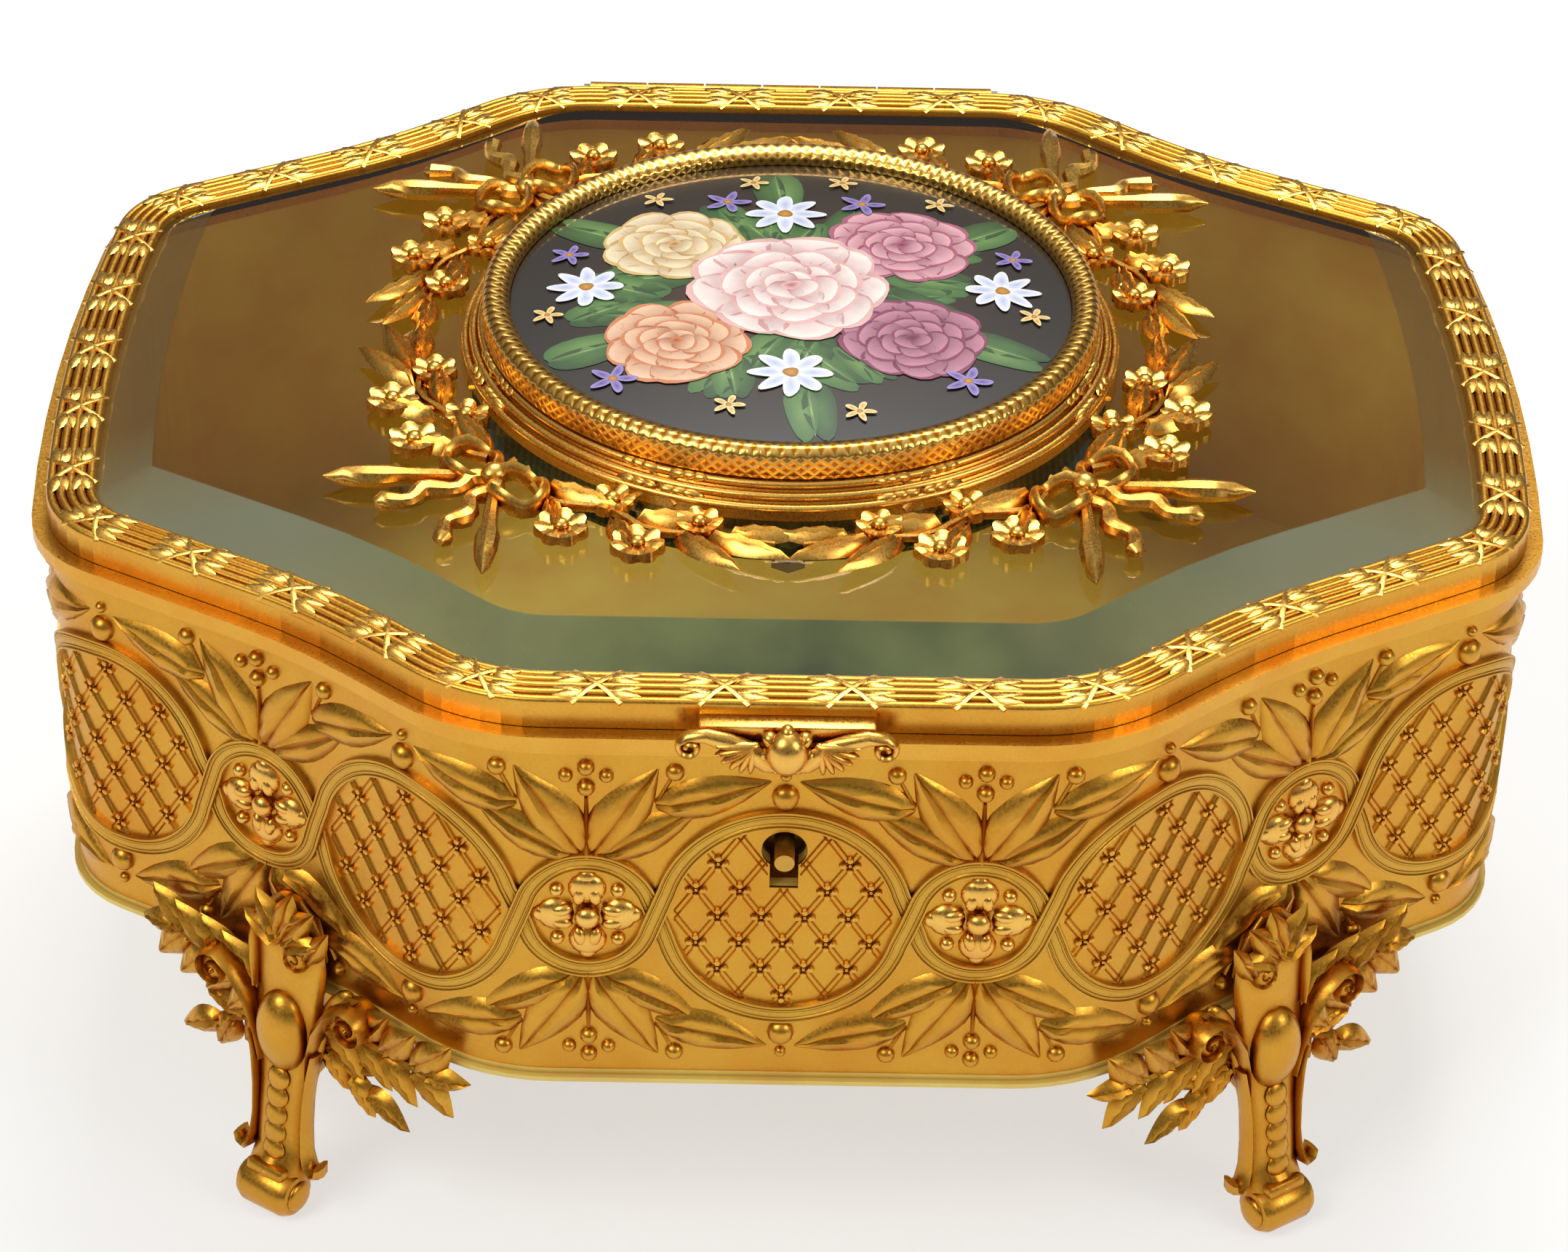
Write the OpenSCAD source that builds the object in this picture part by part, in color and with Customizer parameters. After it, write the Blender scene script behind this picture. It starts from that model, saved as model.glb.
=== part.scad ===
// A table casket of gilt metal with a thick bevelled glass lid. The plan is a serpentine with four
// equal quarters. The lid is hinged at the back and locked at the front. A round porcelain plaque
// in a reeded ring and an openwork wreath stand on the glass. Four cast feet carry the body.
// The front faces -Y, and the origin is on the table under the middle of the box.

/* [Plan] */
// Half of the lid's depth, to the outer face of its band
half_depth = 89.6; // [85:0.1:95]
// Half of the straight run in the middle of the front and back
front_flat = 33; // [28:0.5:38]
// Radius of the bend that leaves the straight run
bend_r = 29.2; // [26:0.1:34]
// Angle at which that bend ends
bend_a = 40.5; // [34:0.5:46]
// Straight run between the bend and the hollow
flank_in = 9.7; // [6:0.1:14]
// Radius of the shallow hollow in each flank
hollow_r = 107; // [80:1:140]
// Angle at which the hollow ends
hollow_a = 29; // [24:0.5:33]
// Straight run between the hollow and the corner
flank_out = 25.4; // [18:0.1:30]
// Radius of the rounded corner
corner_r = 16.6; // [16.2:0.1:20]
// Angle at which the corner meets the bowed end
corner_a = 84; // [80:0.5:87]

/* [Body] */
// Height of the underside of the base plate above the table
base_z = 37.3; // [30:0.1:42]
// Thickness of the base plate, with its stepped edge
base_t = 1.6; // [1.2:0.1:2.5]
// Height of the side wall
wall_h = 58.4; // [50:0.1:65]
// How far the side wall stands inside the plan line
wall_in = 0.6; // [0.3:0.1:1]
// Thickness of the side wall
wall_t = 1.8; // [1.4:0.1:2.4]
// Thickness of the flange that the lid closes on
flange_t = 2.2; // [1.6:0.1:3]
// How far the flange stands out past the plan line
flange_out = 2.4; // [1.5:0.1:3]

/* [Frieze] */
// Thickness of the plain ground of the frieze
skin_t = 0.5; // [0.4:0.1:0.8]
// Height of the ribbon above the wall
ribbon_h = 1.2; // [0.9:0.1:1.4]
// Width of the ribbon
ribbon_w = 2.9; // [2:0.1:3.5]
// Half width of the large ovals inside the ribbon
oval_w = 15.4; // [14:0.1:16]
// Half height of the large ovals inside the ribbon
oval_h = 15.9; // [14:0.1:17]
// Half width of the small roundels inside the ribbon
roundel_w = 7.5; // [6.5:0.1:8]
// Half height of the small roundels inside the ribbon
roundel_h = 8; // [7:0.1:9]

/* [Lid] */
// Clear gap between the flange and the closed lid
lid_gap = 0.1; // [0.05:0.05:0.3]
// Height of the plain band round the lid
band_h = 3.4; // [3:0.1:5]
// Thickness of that band
band_t = 1.7; // [1.4:0.1:2.5]
// Width of the reeded moulding
moulding_w = 7.1; // [6:0.1:8]
// Thickness of the glass
glass_t = 7; // [6:0.1:9]
// Width of the bevel
bevel_w = 10.6; // [8:0.1:11]
// Height of the bevel
bevel_h = 5.5; // [3:0.1:6]

/* [Medallion] */
// Outer radius of the reeded ring
ring_r = 50; // [46:0.5:52]
// Outer radius of the bezel that holds the plaque
bezel_r = 46.7; // [44:0.1:48]
// Radius of the plaque that shows inside the bezel
plaque_r = 42.5; // [38:0.1:43]
// Height of the bezel's top above the glass
medallion_h = 9.8; // [8:0.1:12]

/* [Hinge and lock] */
// Length of the hinge
hinge_l = 69; // [60:1:76]
// Number of knuckles, an odd number
knuckles = 7; // [5:2:9]
// Radius of the knuckles
knuckle_r = 2.4; // [2.2:0.1:2.8]
// Radius of the hinge pin
pin_r = 1.1; // [0.9:0.05:1.2]
// Half width of the lock case
lock_w = 17; // [15:0.5:20]
// Radius of the round part of the keyhole
keyhole_r = 3.2; // [3:0.1:3.4]
// Radius of the post that a pipe key turns on
post_r = 1.4; // [1.2:0.1:1.6]

/* [Hidden] */

// Colours of the finishes
gilt = [0.83, 0.64, 0.29];
gilt_dark = [0.72, 0.5, 0.2];
steel = [0.7, 0.7, 0.68];
crystal = [0.75, 0.88, 0.8, 0.35];
silk = [0.12, 0.36, 0.26];

// Heights that follow from the driving sizes
floor_z = base_z + base_t;
wall_top = floor_z + wall_h;
flange_z = wall_top + flange_t;
lid_z = flange_z + lid_gap;
moulding_z = lid_z + band_h;
glass_z = lid_z + 0.8;
glass_top = glass_z + glass_t;
skin_out = skin_t - wall_in;
frieze_top = wall_top - 1.4;
frieze_z = (floor_z + frieze_top) / 2;

// Points of one quarter of the plan line, moved inwards by d, from the middle of the back to the
// middle of the right end. Each point holds x, y and the heading of the line there.
function bend(p, r, a, b, way, n) = [
    for (i = [1 : n])
        let (t = a + (b - a) * i / n)
        [p.x + way * r * (sin(t) - sin(a)), p.y + way * r * (cos(t) - cos(a)), t]
];
function run(p, l, a) = [[p.x + l * cos(a), p.y - l * sin(a), a]];
function last(v) = v[len(v) - 1];
function quarter(d) =
    let (
        start = [front_flat, half_depth - d, 0],
        first = bend(start, bend_r - d, 0, bend_a, 1, 7),
        flank = run(last(first), flank_in, bend_a),
        hollow = bend(last(flank), hollow_r + d, bend_a, hollow_a, -1, 3),
        side = run(last(hollow), flank_out, hollow_a),
        corner = bend(last(side), corner_r - d, hollow_a, corner_a, 1, 6),
        end = bend(last(corner), last(corner).y / cos(corner_a), corner_a, 90, 1, 3)
    )
    concat([start], first, flank, hollow, side, corner, end);
// The whole plan line, closed
function plan(d) =
    let (q = quarter(d), n = len(q) - 2)
    concat(
        [for (p = q) [p.x, p.y]], [for (i = [n : -1 : 0]) [q[i].x, -q[i].y]],
        [for (p = q) [-p.x, -p.y]], [for (i = [n : -1 : 1]) [-q[i].x, q[i].y]],
        [[-q[0].x, q[0].y]]
    );

// The wall line as tables of distance along it, from the middle of the front to an end
line = concat([[0, half_depth - wall_in, 0]], quarter(wall_in));
function along(v, i = 1, s = 0, out = [0]) =
    i >= len(v) ? out
    : let (t = s + norm([v[i].x - v[i - 1].x, v[i].y - v[i - 1].y]))
        along(v, i + 1, t, concat(out, [t]));
steps = along(line);
quarter_l = last(steps);
table_x = [for (i = [0 : len(line) - 1]) [steps[i], line[i].x]];
table_y = [for (i = [0 : len(line) - 1]) [steps[i], line[i].y]];
table_a = [for (i = [0 : len(line) - 1]) [steps[i], line[i][2]]];
// A point at distance s round the wall, from the middle of the front towards +X, at height z, and
// out from the wall's face
function on_wall(s, z, out) =
    let (
        u = s - 4 * quarter_l * floor(s / (4 * quarter_l)),
        k = floor(u / quarter_l),
        v = k % 2 == 0 ? u - k * quarter_l : (k + 1) * quarter_l - u,
        a = lookup(v, table_a),
        sx = k < 2 ? 1 : -1,
        sy = (k == 0 || k == 3) ? -1 : 1
    )
    [sx * (lookup(v, table_x) + out * sin(a)), sy * (lookup(v, table_y) + out * cos(a)), z];

// Twelve large ovals and twelve roundels take turns round the wall, one at each step
pitch = quarter_l / 6;

// A ring that follows the plan line, between two distances inside it
module plan_ring(outer, inner, z, h) {
    translate([0, 0, z]) linear_extrude(h) difference() {
        polygon(plan(outer));
        polygon(plan(inner));
    }
}

// A flat plate with the plan's outline
module plan_plate(d, z, h) {
    translate([0, 0, z]) linear_extrude(h) polygon(plan(d));
}

// The quarter that is drawn is at the front right. The other three are its mirror images.
module quarter_at(sx, sy) {
    scale_x = sx < 0 ? [1, 0, 0] : [0, 0, 0];
    scale_y = sy > 0 ? [0, 1, 0] : [0, 0, 0];
    mirror(scale_x) mirror(scale_y) children();
}

// The keyhole through the front, as seen from the front
keyhole_z = floor_z + 40.2;
keyhole_drop = 6.6;
module keyhole(y, depth) {
    translate([0, y, keyhole_z]) rotate([90, 0, 0]) linear_extrude(depth) union() {
        circle(r = keyhole_r, $fn = 48);
        translate([-2, -keyhole_drop]) square([4, keyhole_drop]);
    }
}

module side_wall() {
    color(gilt) difference() {
        plan_ring(wall_in, wall_in + wall_t, floor_z, wall_h);
        keyhole(-half_depth + wall_in + wall_t + 1, wall_t + 2);
    }
}

// One ring of the ribbon, laid on the wall
module ribbon(s, rx, rz, n) {
    section = [[0, 0.25], [0.5, ribbon_h], [ribbon_w - 0.5, ribbon_h], [ribbon_w, 0.25]];
    m = len(section);
    points = [
        for (i = [0 : n - 1], p = section)
            let (t = 360 * (i + 0.5) / n)
            on_wall(s + (rx + p.x) * cos(t), frieze_z + (rz + p.x) * sin(t), p.y)
    ];
    faces = [
        for (i = [0 : n - 1], j = [0 : m - 1])
            let (a = i * m + j, b = i * m + (j + 1) % m, c = ((i + 1) % n) * m)
            each [[a, c + (j + 1) % m, b], [a, c + j, c + (j + 1) % m]]
    ];
    polyhedron(points, faces, convexity = 6);
}

// A group of leaves laid on the wall, spread from one stalk. Each turn is measured from straight up.
module leaf_fan(s, z, turns, l, h) {
    n = len(turns);
    function at(t, r, out) = on_wall(s + r * sin(t), z + r * cos(t), out);
    outline = [
        for (i = [0 : n - 1])
            each [
                at(turns[i], l * (i == 0 || i == n - 1 ? 0.86 : 1), 0.25),
                if (i < n - 1) at((turns[i] + turns[i + 1]) / 2, l * 0.55, 0.25)
            ]
    ];
    m = len(outline);
    points = concat(outline, [at(0, 0, 0.25), at((turns[0] + turns[n - 1]) / 2, l * 0.4, h)]);
    faces = concat(
        [[for (i = [m : -1 : 0]) i]], [for (i = [0 : m]) [i, (i + 1) % (m + 1), m + 1]]
    );
    polyhedron(points, faces, convexity = 4);
}

// A low bead on the wall
module wall_bead(s, z, r, h) {
    n = 5;
    edge = [for (i = [0 : n - 1]) on_wall(s + r * sin(72 * i), z + r * cos(72 * i), 0.25)];
    faces = [for (i = [0 : n - 1]) [i, (i + 1) % n, n]];
    polyhedron(concat(edge, [on_wall(s, z, h)]), concat([[for (i = [n - 1 : -1 : 0]) i]], faces));
}

// A rosette of four petals
module rosette(s) {
    outline = [
        for (i = [0 : 7])
            let (r = i % 2 == 0 ? 6.6 : 3)
            on_wall(s + r * sin(45 * i), frieze_z + r * cos(45 * i), 0.25)
    ];
    polyhedron(
        concat(outline, [on_wall(s, frieze_z, 1.9)]),
        concat([[for (i = [7 : -1 : 0]) i]], [for (i = [0 : 7]) [i, (i + 1) % 8, 8]])
    );
}

// The leaves above or below a roundel, for a way of 1 or -1
module leaf_group(s, way) {
    z = frieze_z + way * (roundel_h + ribbon_w - 0.4);
    turns = way > 0 ? [-62, -21, 21, 62] : [118, 159, 201, 242];
    leaf_fan(s, z, turns, 16.5, 1.6);
    wall_bead(s, z + way * 15.4, 1.5, 1.5);
}

module wall_frieze() {
    color(gilt) union() {
        difference() {
            union() {
                plan_ring(-skin_out, wall_in, floor_z, frieze_top - floor_z);
                for (i = [0 : 11]) ribbon(i * 2 * pitch, oval_w, oval_h, 16);
                for (i = [0 : 11]) ribbon((i * 2 + 1) * pitch, roundel_w, roundel_h, 10);
                for (i = [0 : 11]) {
                    rosette((i * 2 + 1) * pitch);
                    leaf_group((i * 2 + 1) * pitch, 1);
                    leaf_group((i * 2 + 1) * pitch, -1);
                }
            }
            plan_plate(wall_in, floor_z - 5, wall_h + 10);
            keyhole(-half_depth + 1, 6);
        }
    }
}

module top_flange() {
    color(gilt) union() {
        plan_ring(-flange_out, wall_in + wall_t + 0.6, wall_top, flange_t);
        plan_ring(-1.1, wall_in, frieze_top, wall_top - frieze_top);
        // The packing strip behind the hinge
        difference() {
            translate([-hinge_l / 2, half_depth - 0.1, wall_top - 4])
                cube([hinge_l, flange_out + 0.1, 4 + flange_t]);
            for (x = rivets_x)
                translate([x, half_depth + 6, rivets_z]) rotate([90, 0, 0])
                    cylinder(r = 0.8, h = 8, $fn = 24);
        }
    }
}

// The feet stand below the second roundel of each flank, a little towards the front
foot_s = 2.8 * pitch;
foot_p = on_wall(foot_s, 0, 0);
foot_a = lookup(foot_s, table_a);
foot_out = 1.7;
screw_r = 1.5;
screw_in = 9;
tab_t = 3.5;
// A place on a foot: x along the wall, y inwards and z up
module foot_frame() {
    translate([foot_p.x, foot_p.y, 0]) rotate([0, 0, foot_a]) children();
}

module base_plate() {
    color(gilt) difference() {
        union() {
            plan_plate(-1, base_z, base_t / 2);
            plan_plate(-0.1, base_z + base_t / 2, base_t / 2);
        }
        for (sx = [-1, 1], sy = [-1, 1])
            quarter_at(sx, sy) foot_frame()
                translate([0, screw_in, base_z - 1]) cylinder(r = screw_r + 0.1, h = 4, $fn = 32);
    }
}

// Half width, thickness and distance out of the foot's body at each height
foot_rows = [
    [0, 3.6, 6.4, 4.6], [2.5, 4.9, 8.6, 3.4], [7, 4.7, 8, 3.4], [9.5, 3.6, 5.2, 3.4],
    [20, 3.7, 4.6, 2.4], [25, 5, 4.6, 1.2], [31, 6.4, 4.8, 0.4], [43, 6.7, 4.2, 0],
    [49, 5.8, 3.2, 0], [54, 1.6, 1.8, 0]
];
// Outline of the foot's body at one height, with rounded front corners
function foot_ring(r) = [
    for (p = [[-1, 0], [1, 0], [1, 0.55], [0.6, 1], [-0.6, 1], [-1, 0.55]])
        [p.x * r[1], -(foot_out + r[3] + p.y * r[2]), r[0]]
];
// A body lofted through rings with the same number of points
module loft(rings) {
    m = len(rings[0]);
    n = len(rings);
    points = [for (r = rings, p = r) p];
    sides = [
        for (i = [0 : n - 2], j = [0 : m - 1])
            let (a = i * m + j, b = i * m + (j + 1) % m)
            each [[a, b + m, a + m], [a, b, b + m]]
    ];
    caps = [[for (j = [m - 1 : -1 : 0]) j], [for (j = [0 : m - 1]) (n - 1) * m + j]];
    polyhedron(points, concat(sides, caps), convexity = 8);
}
// A strip that tapers along a route in the foot's front plane and ends in a scroll
module strip(route, widths, out, t) {
    loft([
        for (i = [0 : len(route) - 1])
            let (
                a = route[max(i - 1, 0)], b = route[min(i + 1, len(route) - 1)],
                d = (b - a) / norm(b - a), w = widths[i] / 2, p = route[i]
            )
            [
                [p.x - d.y * w, -out, p.y + d.x * w], [p.x + d.y * w, -out, p.y - d.x * w],
                [p.x + d.y * w, -out - t, p.y - d.x * w], [p.x - d.y * w, -out - t, p.y + d.x * w]
            ]
    ]);
}
// One leaf of a spray: a thick lozenge that lies just off the wall
module spray_leaf(s, z, turn, l, w) {
    function at(u, v, out) =
        on_wall(s + u * sin(turn) + v * cos(turn), z + u * cos(turn) - v * sin(turn), out);
    points = [
        at(0, 0, 2.6), at(l * 0.45, -w / 2, 2.8), at(l, 0, 2.6), at(l * 0.45, w / 2, 2.8),
        at(l * 0.45, 0, 4.6), at(l * 0.45, 0, 2)
    ];
    faces = [
        [0, 1, 4], [1, 2, 4], [2, 3, 4], [3, 0, 4], [1, 0, 5], [2, 1, 5], [3, 2, 5], [0, 3, 5]
    ];
    hull() polyhedron(points, faces);
}
// The openwork laurel spray on one side of the foot, towards the middle of the front for -1
module spray(side) {
    l = side < 0 ? 32 : 27;
    rise = side < 0 ? 1 : 6;
    stalk = [for (i = [0 : 5]) [foot_s + side * (5 + (l - 8) * i / 5), 34 + rise * i / 5]];
    loft([
        for (p = stalk)
            [
                on_wall(p.x, p.y + side * 0.8, 2.4), on_wall(p.x, p.y - side * 0.8, 2.4),
                on_wall(p.x, p.y - side * 0.8, 4), on_wall(p.x, p.y + side * 0.8, 4)
            ]
    ]);
    for (i = [2 : 5], up = [-1, 1])
        spray_leaf(stalk[i].x - side * 1.5, stalk[i].y, side * (90 - up * 38), 10 - i * 0.4, 4.6);
    // The lower twig, which hangs free of the body
    for (i = [0 : 2])
        spray_leaf(foot_s + side * (1.5 + i * 3.8), 31 - i * 2.2, side * (108 + i * 14), 10, 4.4);
}
module foot() {
    color(gilt) union() {
        foot_frame() {
            loft([for (r = foot_rows) foot_ring(r)]);
            // The oval boss on the cartouche
            translate([0, -foot_out - 4.6, 31]) resize([7.6, 5.6, 12.4]) sphere(r = 5, $fn = 8);
            // The scroll of the toe
            translate([-4.6, -foot_out - 9.5, 3.6]) rotate([0, 90, 0])
                cylinder(r = 3.6, h = 9.2, $fn = 16);
            // Scrolled wings at the sides of the cartouche, and hooks at the ankle
            for (side = [-1, 1]) {
                strip(
                    [
                        [side * 4.2, 25], [side * 5.4, 30], [side * 7.6, 35.5], [side * 10.6, 39],
                        [side * 13.6, 38.6], [side * 14.2, 35.6], [side * 12.2, 34]
                    ],
                    [1.6, 2, 2.6, 3.2, 3, 2.4, 1.4], foot_out + 1.6, 4
                );
                strip(
                    [
                        [side * 3.8, 25], [side * 3.7, 18], [side * 4.3, 11], [side * 6.2, 7.6],
                        [side * 7.9, 8.8]
                    ],
                    [1.2, 1.6, 2, 2.4, 1.4], foot_out + 3, 4.6
                );
            }
            // The flame of leaves at the top
            for (t = [-40, 0, 40])
                hull() {
                    translate([0, -foot_out - 2.4, 47]) sphere(r = 1.6, $fn = 4);
                    translate([9 * sin(t), -foot_out - 1.8, 47 + 9 * cos(t)])
                        sphere(r = 0.8, $fn = 4);
                }
            // The tab under the base plate that takes the screw
            difference() {
                translate([-4, -foot_out - 4, base_z - tab_t]) cube([8, foot_out + 17, tab_t]);
                translate([0, screw_in, base_z - 5]) cylinder(r = screw_r + 0.1, h = 8, $fn = 18);
            }
        }
        spray(-1);
        spray(1);
    }
}
module foot_front_left() { quarter_at(-1, -1) foot(); }
module foot_front_right() { quarter_at(1, -1) foot(); }
module foot_back_left() { quarter_at(-1, 1) foot(); }
module foot_back_right() { quarter_at(1, 1) foot(); }

// Screws that come up through the tabs, and the round nuts on the floor inside
module foot_screws() {
    color(steel) for (sx = [-1, 1], sy = [-1, 1])
        quarter_at(sx, sy) foot_frame() translate([0, screw_in, 0]) {
            translate([0, 0, base_z - tab_t]) cylinder(r = screw_r, h = 8, $fn = 32);
            translate([0, 0, base_z - tab_t - 1.4]) cylinder(r = 2.8, h = 1.4, $fn = 32);
        }
}
module foot_nuts() {
    color(steel) for (sx = [-1, 1], sy = [-1, 1])
        quarter_at(sx, sy) foot_frame() translate([0, screw_in, floor_z]) difference() {
            cylinder(r = 3.2, h = 1.8, $fn = 32);
            translate([0, 0, -1]) cylinder(r = screw_r, h = 4, $fn = 32);
        }
}

// The lock is on the inside of the front wall. Its case is open to the back, and a cap closes it.
lock_y = -half_depth + wall_in + wall_t;
lock_z = floor_z + 29.2;
lock_h = 27.4;
case_t = 1;
case_d = 6;
cap_y = lock_y + case_d;
bolt_y = lock_y + 3;
bolt_z = lock_z + 22;
screw_places = [[-14, lock_z + 3], [14, lock_z + 3], [-14, lock_z + 24]];
module lock_case() {
    color(gilt_dark) difference() {
        translate([-lock_w, lock_y, lock_z]) cube([2 * lock_w, case_d, lock_h]);
        difference() {
            translate([-lock_w + case_t, lock_y + case_t, lock_z + case_t])
                cube([2 * (lock_w - case_t), case_d, lock_h - 2 * case_t]);
            // The rail that the bolt runs on, and the bosses for the screws
            translate([1.8, lock_y, bolt_z - 8]) cube([20, 4.6, 0.9]);
            for (p = screw_places)
                translate([p.x - 2, lock_y, p.y - 2]) cube([4, case_d, 4]);
        }
        translate([-2, lock_y + case_t, lock_z + lock_h - 2]) cube([4, case_d, 4]);
        keyhole(lock_y + case_t + 0.5, case_t + 1);
        for (p = screw_places)
            translate([p.x, cap_y + 1, p.y]) rotate([90, 0, 0]) cylinder(r = 0.9, h = 5, $fn = 24);
    }
}
module lock_cap() {
    color(gilt_dark) difference() {
        translate([-lock_w, cap_y, lock_z]) cube([2 * lock_w, case_t, lock_h]);
        for (p = screw_places)
            translate([p.x, cap_y + 3, p.y]) rotate([90, 0, 0]) cylinder(r = 0.9, h = 5, $fn = 24);
    }
}
module lock_post() {
    color(gilt_dark) translate([0, cap_y, keyhole_z]) rotate([90, 0, 0])
        cylinder(r = post_r, h = 11.3, $fn = 32);
}
module lock_screws() {
    color(steel) for (p = screw_places)
        translate([p.x, cap_y + case_t, p.y]) rotate([90, 0, 0]) {
            cylinder(r = 0.9, h = 4, $fn = 24);
            translate([0, 0, -0.8]) cylinder(r = 1.7, h = 0.8, $fn = 24);
        }
}
// The bolt slides towards -X, through the eye of the strike
module lock_bolt() {
    color(steel) union() {
        translate([2, bolt_y, bolt_z]) cube([13, 1.6, 2]);
        translate([6, bolt_y, bolt_z - 7]) cube([8, 1.6, 8]);
    }
}

// The hinge turns on an axis behind the flange, level with its top
hinge_y = half_depth + flange_out + knuckle_r + 0.2;
hinge_z = flange_z;
knuckle_l = hinge_l / knuckles;
knuckle_gap = 0.3;
rivets_x = [-24, 0, 24];
rivets_z = wall_top - 2.4;
function knuckle_at(i) = -hinge_l / 2 + i * knuckle_l + knuckle_gap / 2;
module knuckle_set(first) {
    for (i = [first : 2 : knuckles - 1])
        translate([knuckle_at(i), hinge_y, hinge_z])
            rotate([0, 90, 0]) cylinder(r = knuckle_r, h = knuckle_l - knuckle_gap, $fn = 48);
}
module hinge_bore() {
    translate([-hinge_l / 2 - 1, hinge_y, hinge_z]) rotate([0, 90, 0])
        cylinder(r = pin_r + 0.05, h = hinge_l + 2, $fn = 48);
}
module hinge_body_leaf() {
    y = half_depth + flange_out;
    color(gilt) difference() {
        union() {
            knuckle_set(0);
            for (i = [0 : 2 : knuckles - 1])
                translate([knuckle_at(i), y, wall_top - 1])
                    cube([knuckle_l - knuckle_gap, hinge_y - y, 2.3]);
            difference() {
                translate([-hinge_l / 2, y, wall_top - 4]) cube([hinge_l, 1.3, 4]);
                for (x = rivets_x)
                    translate([x, y + 3, rivets_z]) rotate([90, 0, 0])
                        cylinder(r = 0.8, h = 5, $fn = 24);
            }
        }
        hinge_bore();
    }
}
module hinge_lid_leaf() {
    color(gilt) difference() {
        union() {
            knuckle_set(1);
            for (i = [1 : 2 : knuckles - 1])
                translate([knuckle_at(i), half_depth + 1, hinge_z + 0.5])
                    cube([knuckle_l - knuckle_gap, hinge_y - half_depth - 1, 1.7]);
            translate([-front_flat, half_depth, lid_z + 0.3]) cube([2 * front_flat, 1.4, band_h - 0.3]);
        }
        hinge_bore();
    }
}
module hinge_pin() {
    color(steel) translate([-hinge_l / 2, hinge_y, hinge_z]) rotate([0, 90, 0]) {
        cylinder(r = pin_r, h = hinge_l, $fn = 48);
        translate([0, 0, -1]) cylinder(r = knuckle_r - 0.4, h = 1, $fn = 48);
        translate([0, 0, hinge_l]) cylinder(r = knuckle_r - 0.4, h = 1, $fn = 48);
    }
}
// Rivets that hold the body leaf to the packing strip
module hinge_rivets() {
    y = half_depth + flange_out;
    color(gilt) for (x = rivets_x)
        translate([x, y + 1.3, rivets_z]) rotate([90, 0, 0]) {
            cylinder(r = 0.8, h = 3.6, $fn = 24);
            translate([0, 0, -0.6]) cylinder(r = 1.3, h = 0.6, $fn = 24);
        }
}

module lid_frame() {
    color(gilt) plan_ring(0, band_t, lid_z, band_h);
}

// Five reeds side by side on a flat base. The middle one is the highest.
module rim_moulding() {
    reed = moulding_w / 5;
    color(gilt) union() {
        plan_ring(0, moulding_w, moulding_z, 0.5);
        for (i = [0 : 4])
            plan_ring(
                i * reed + 0.15, (i + 1) * reed - 0.15, moulding_z + 0.5, 0.4 + 0.6 * sin(30 + 30 * i)
            );
    }
}

// A plate with a flat top, a wide bevel and a thin edge that sits in the band
module lid_glass() {
    edge = band_t + 0.3;
    start = edge + 3;
    rows = [[edge, 0], [edge, glass_t - bevel_h], [start, glass_t - bevel_h], [start + bevel_w, glass_t]];
    color(crystal) difference() {
        loft([for (r = rows) [for (p = plan(r.x)) [p.x, p.y, glass_z + r.y]]]);
        for (t = [0 : 90 : 270])
            rotate([0, 0, t]) translate([stud_at, 0, glass_z - 1])
                cylinder(r = stud_r + 0.3, h = glass_t + 2, $fn = 32);
    }
}
module glass_retainer() {
    color(gilt) plan_ring(band_t, band_t + 3.8, lid_z + 0.1, glass_z - lid_z - 0.1);
}

// The winged thumb-piece on the front of the band
module thumb_piece() {
    wing = [
        [0, 4.4], [2.4, 3.4], [4, 1.2], [8, 2], [13, 3.6], [15.8, 3.4], [15.8, 1.2], [13.6, 0.4],
        [11, -0.6], [7, -1.6], [3.6, -2.4], [2, -3.6], [0, -4.2]
    ];
    y = -half_depth - flange_out - 0.3;
    color(gilt) union() {
        translate([0, y, lid_z - 0.4]) rotate([90, 0, 0]) linear_extrude(2.2)
            polygon(concat(wing, [for (i = [len(wing) - 2 : -1 : 1]) [-wing[i].x, wing[i].y]]));
        translate([-12, y, lid_z + 0.4]) cube([24, flange_out + 0.3, 2.4]);
        // The boss for the thumb
        translate([0, y - 2, lid_z - 0.4]) rotate([90, 0, 0]) cylinder(r1 = 3, r2 = 2.2, h = 2.7, $fn = 40);
    }
}

// The eye on the lid that the bolt goes through
module lock_strike() {
    eye_y = bolt_y - 1.2;
    color(gilt_dark) difference() {
        union() {
            translate([-0.9, eye_y, bolt_z - 2]) cube([1.8, 3.9, lid_z + 0.1 - bolt_z + 2]);
            translate([-6, lock_y + 1.2, lid_z - 0.7]) cube([12, 6, 0.8]);
        }
        translate([-2, bolt_y - 0.4, bolt_z - 0.6]) cube([4, 2.4, 3.2]);
    }
}

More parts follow.
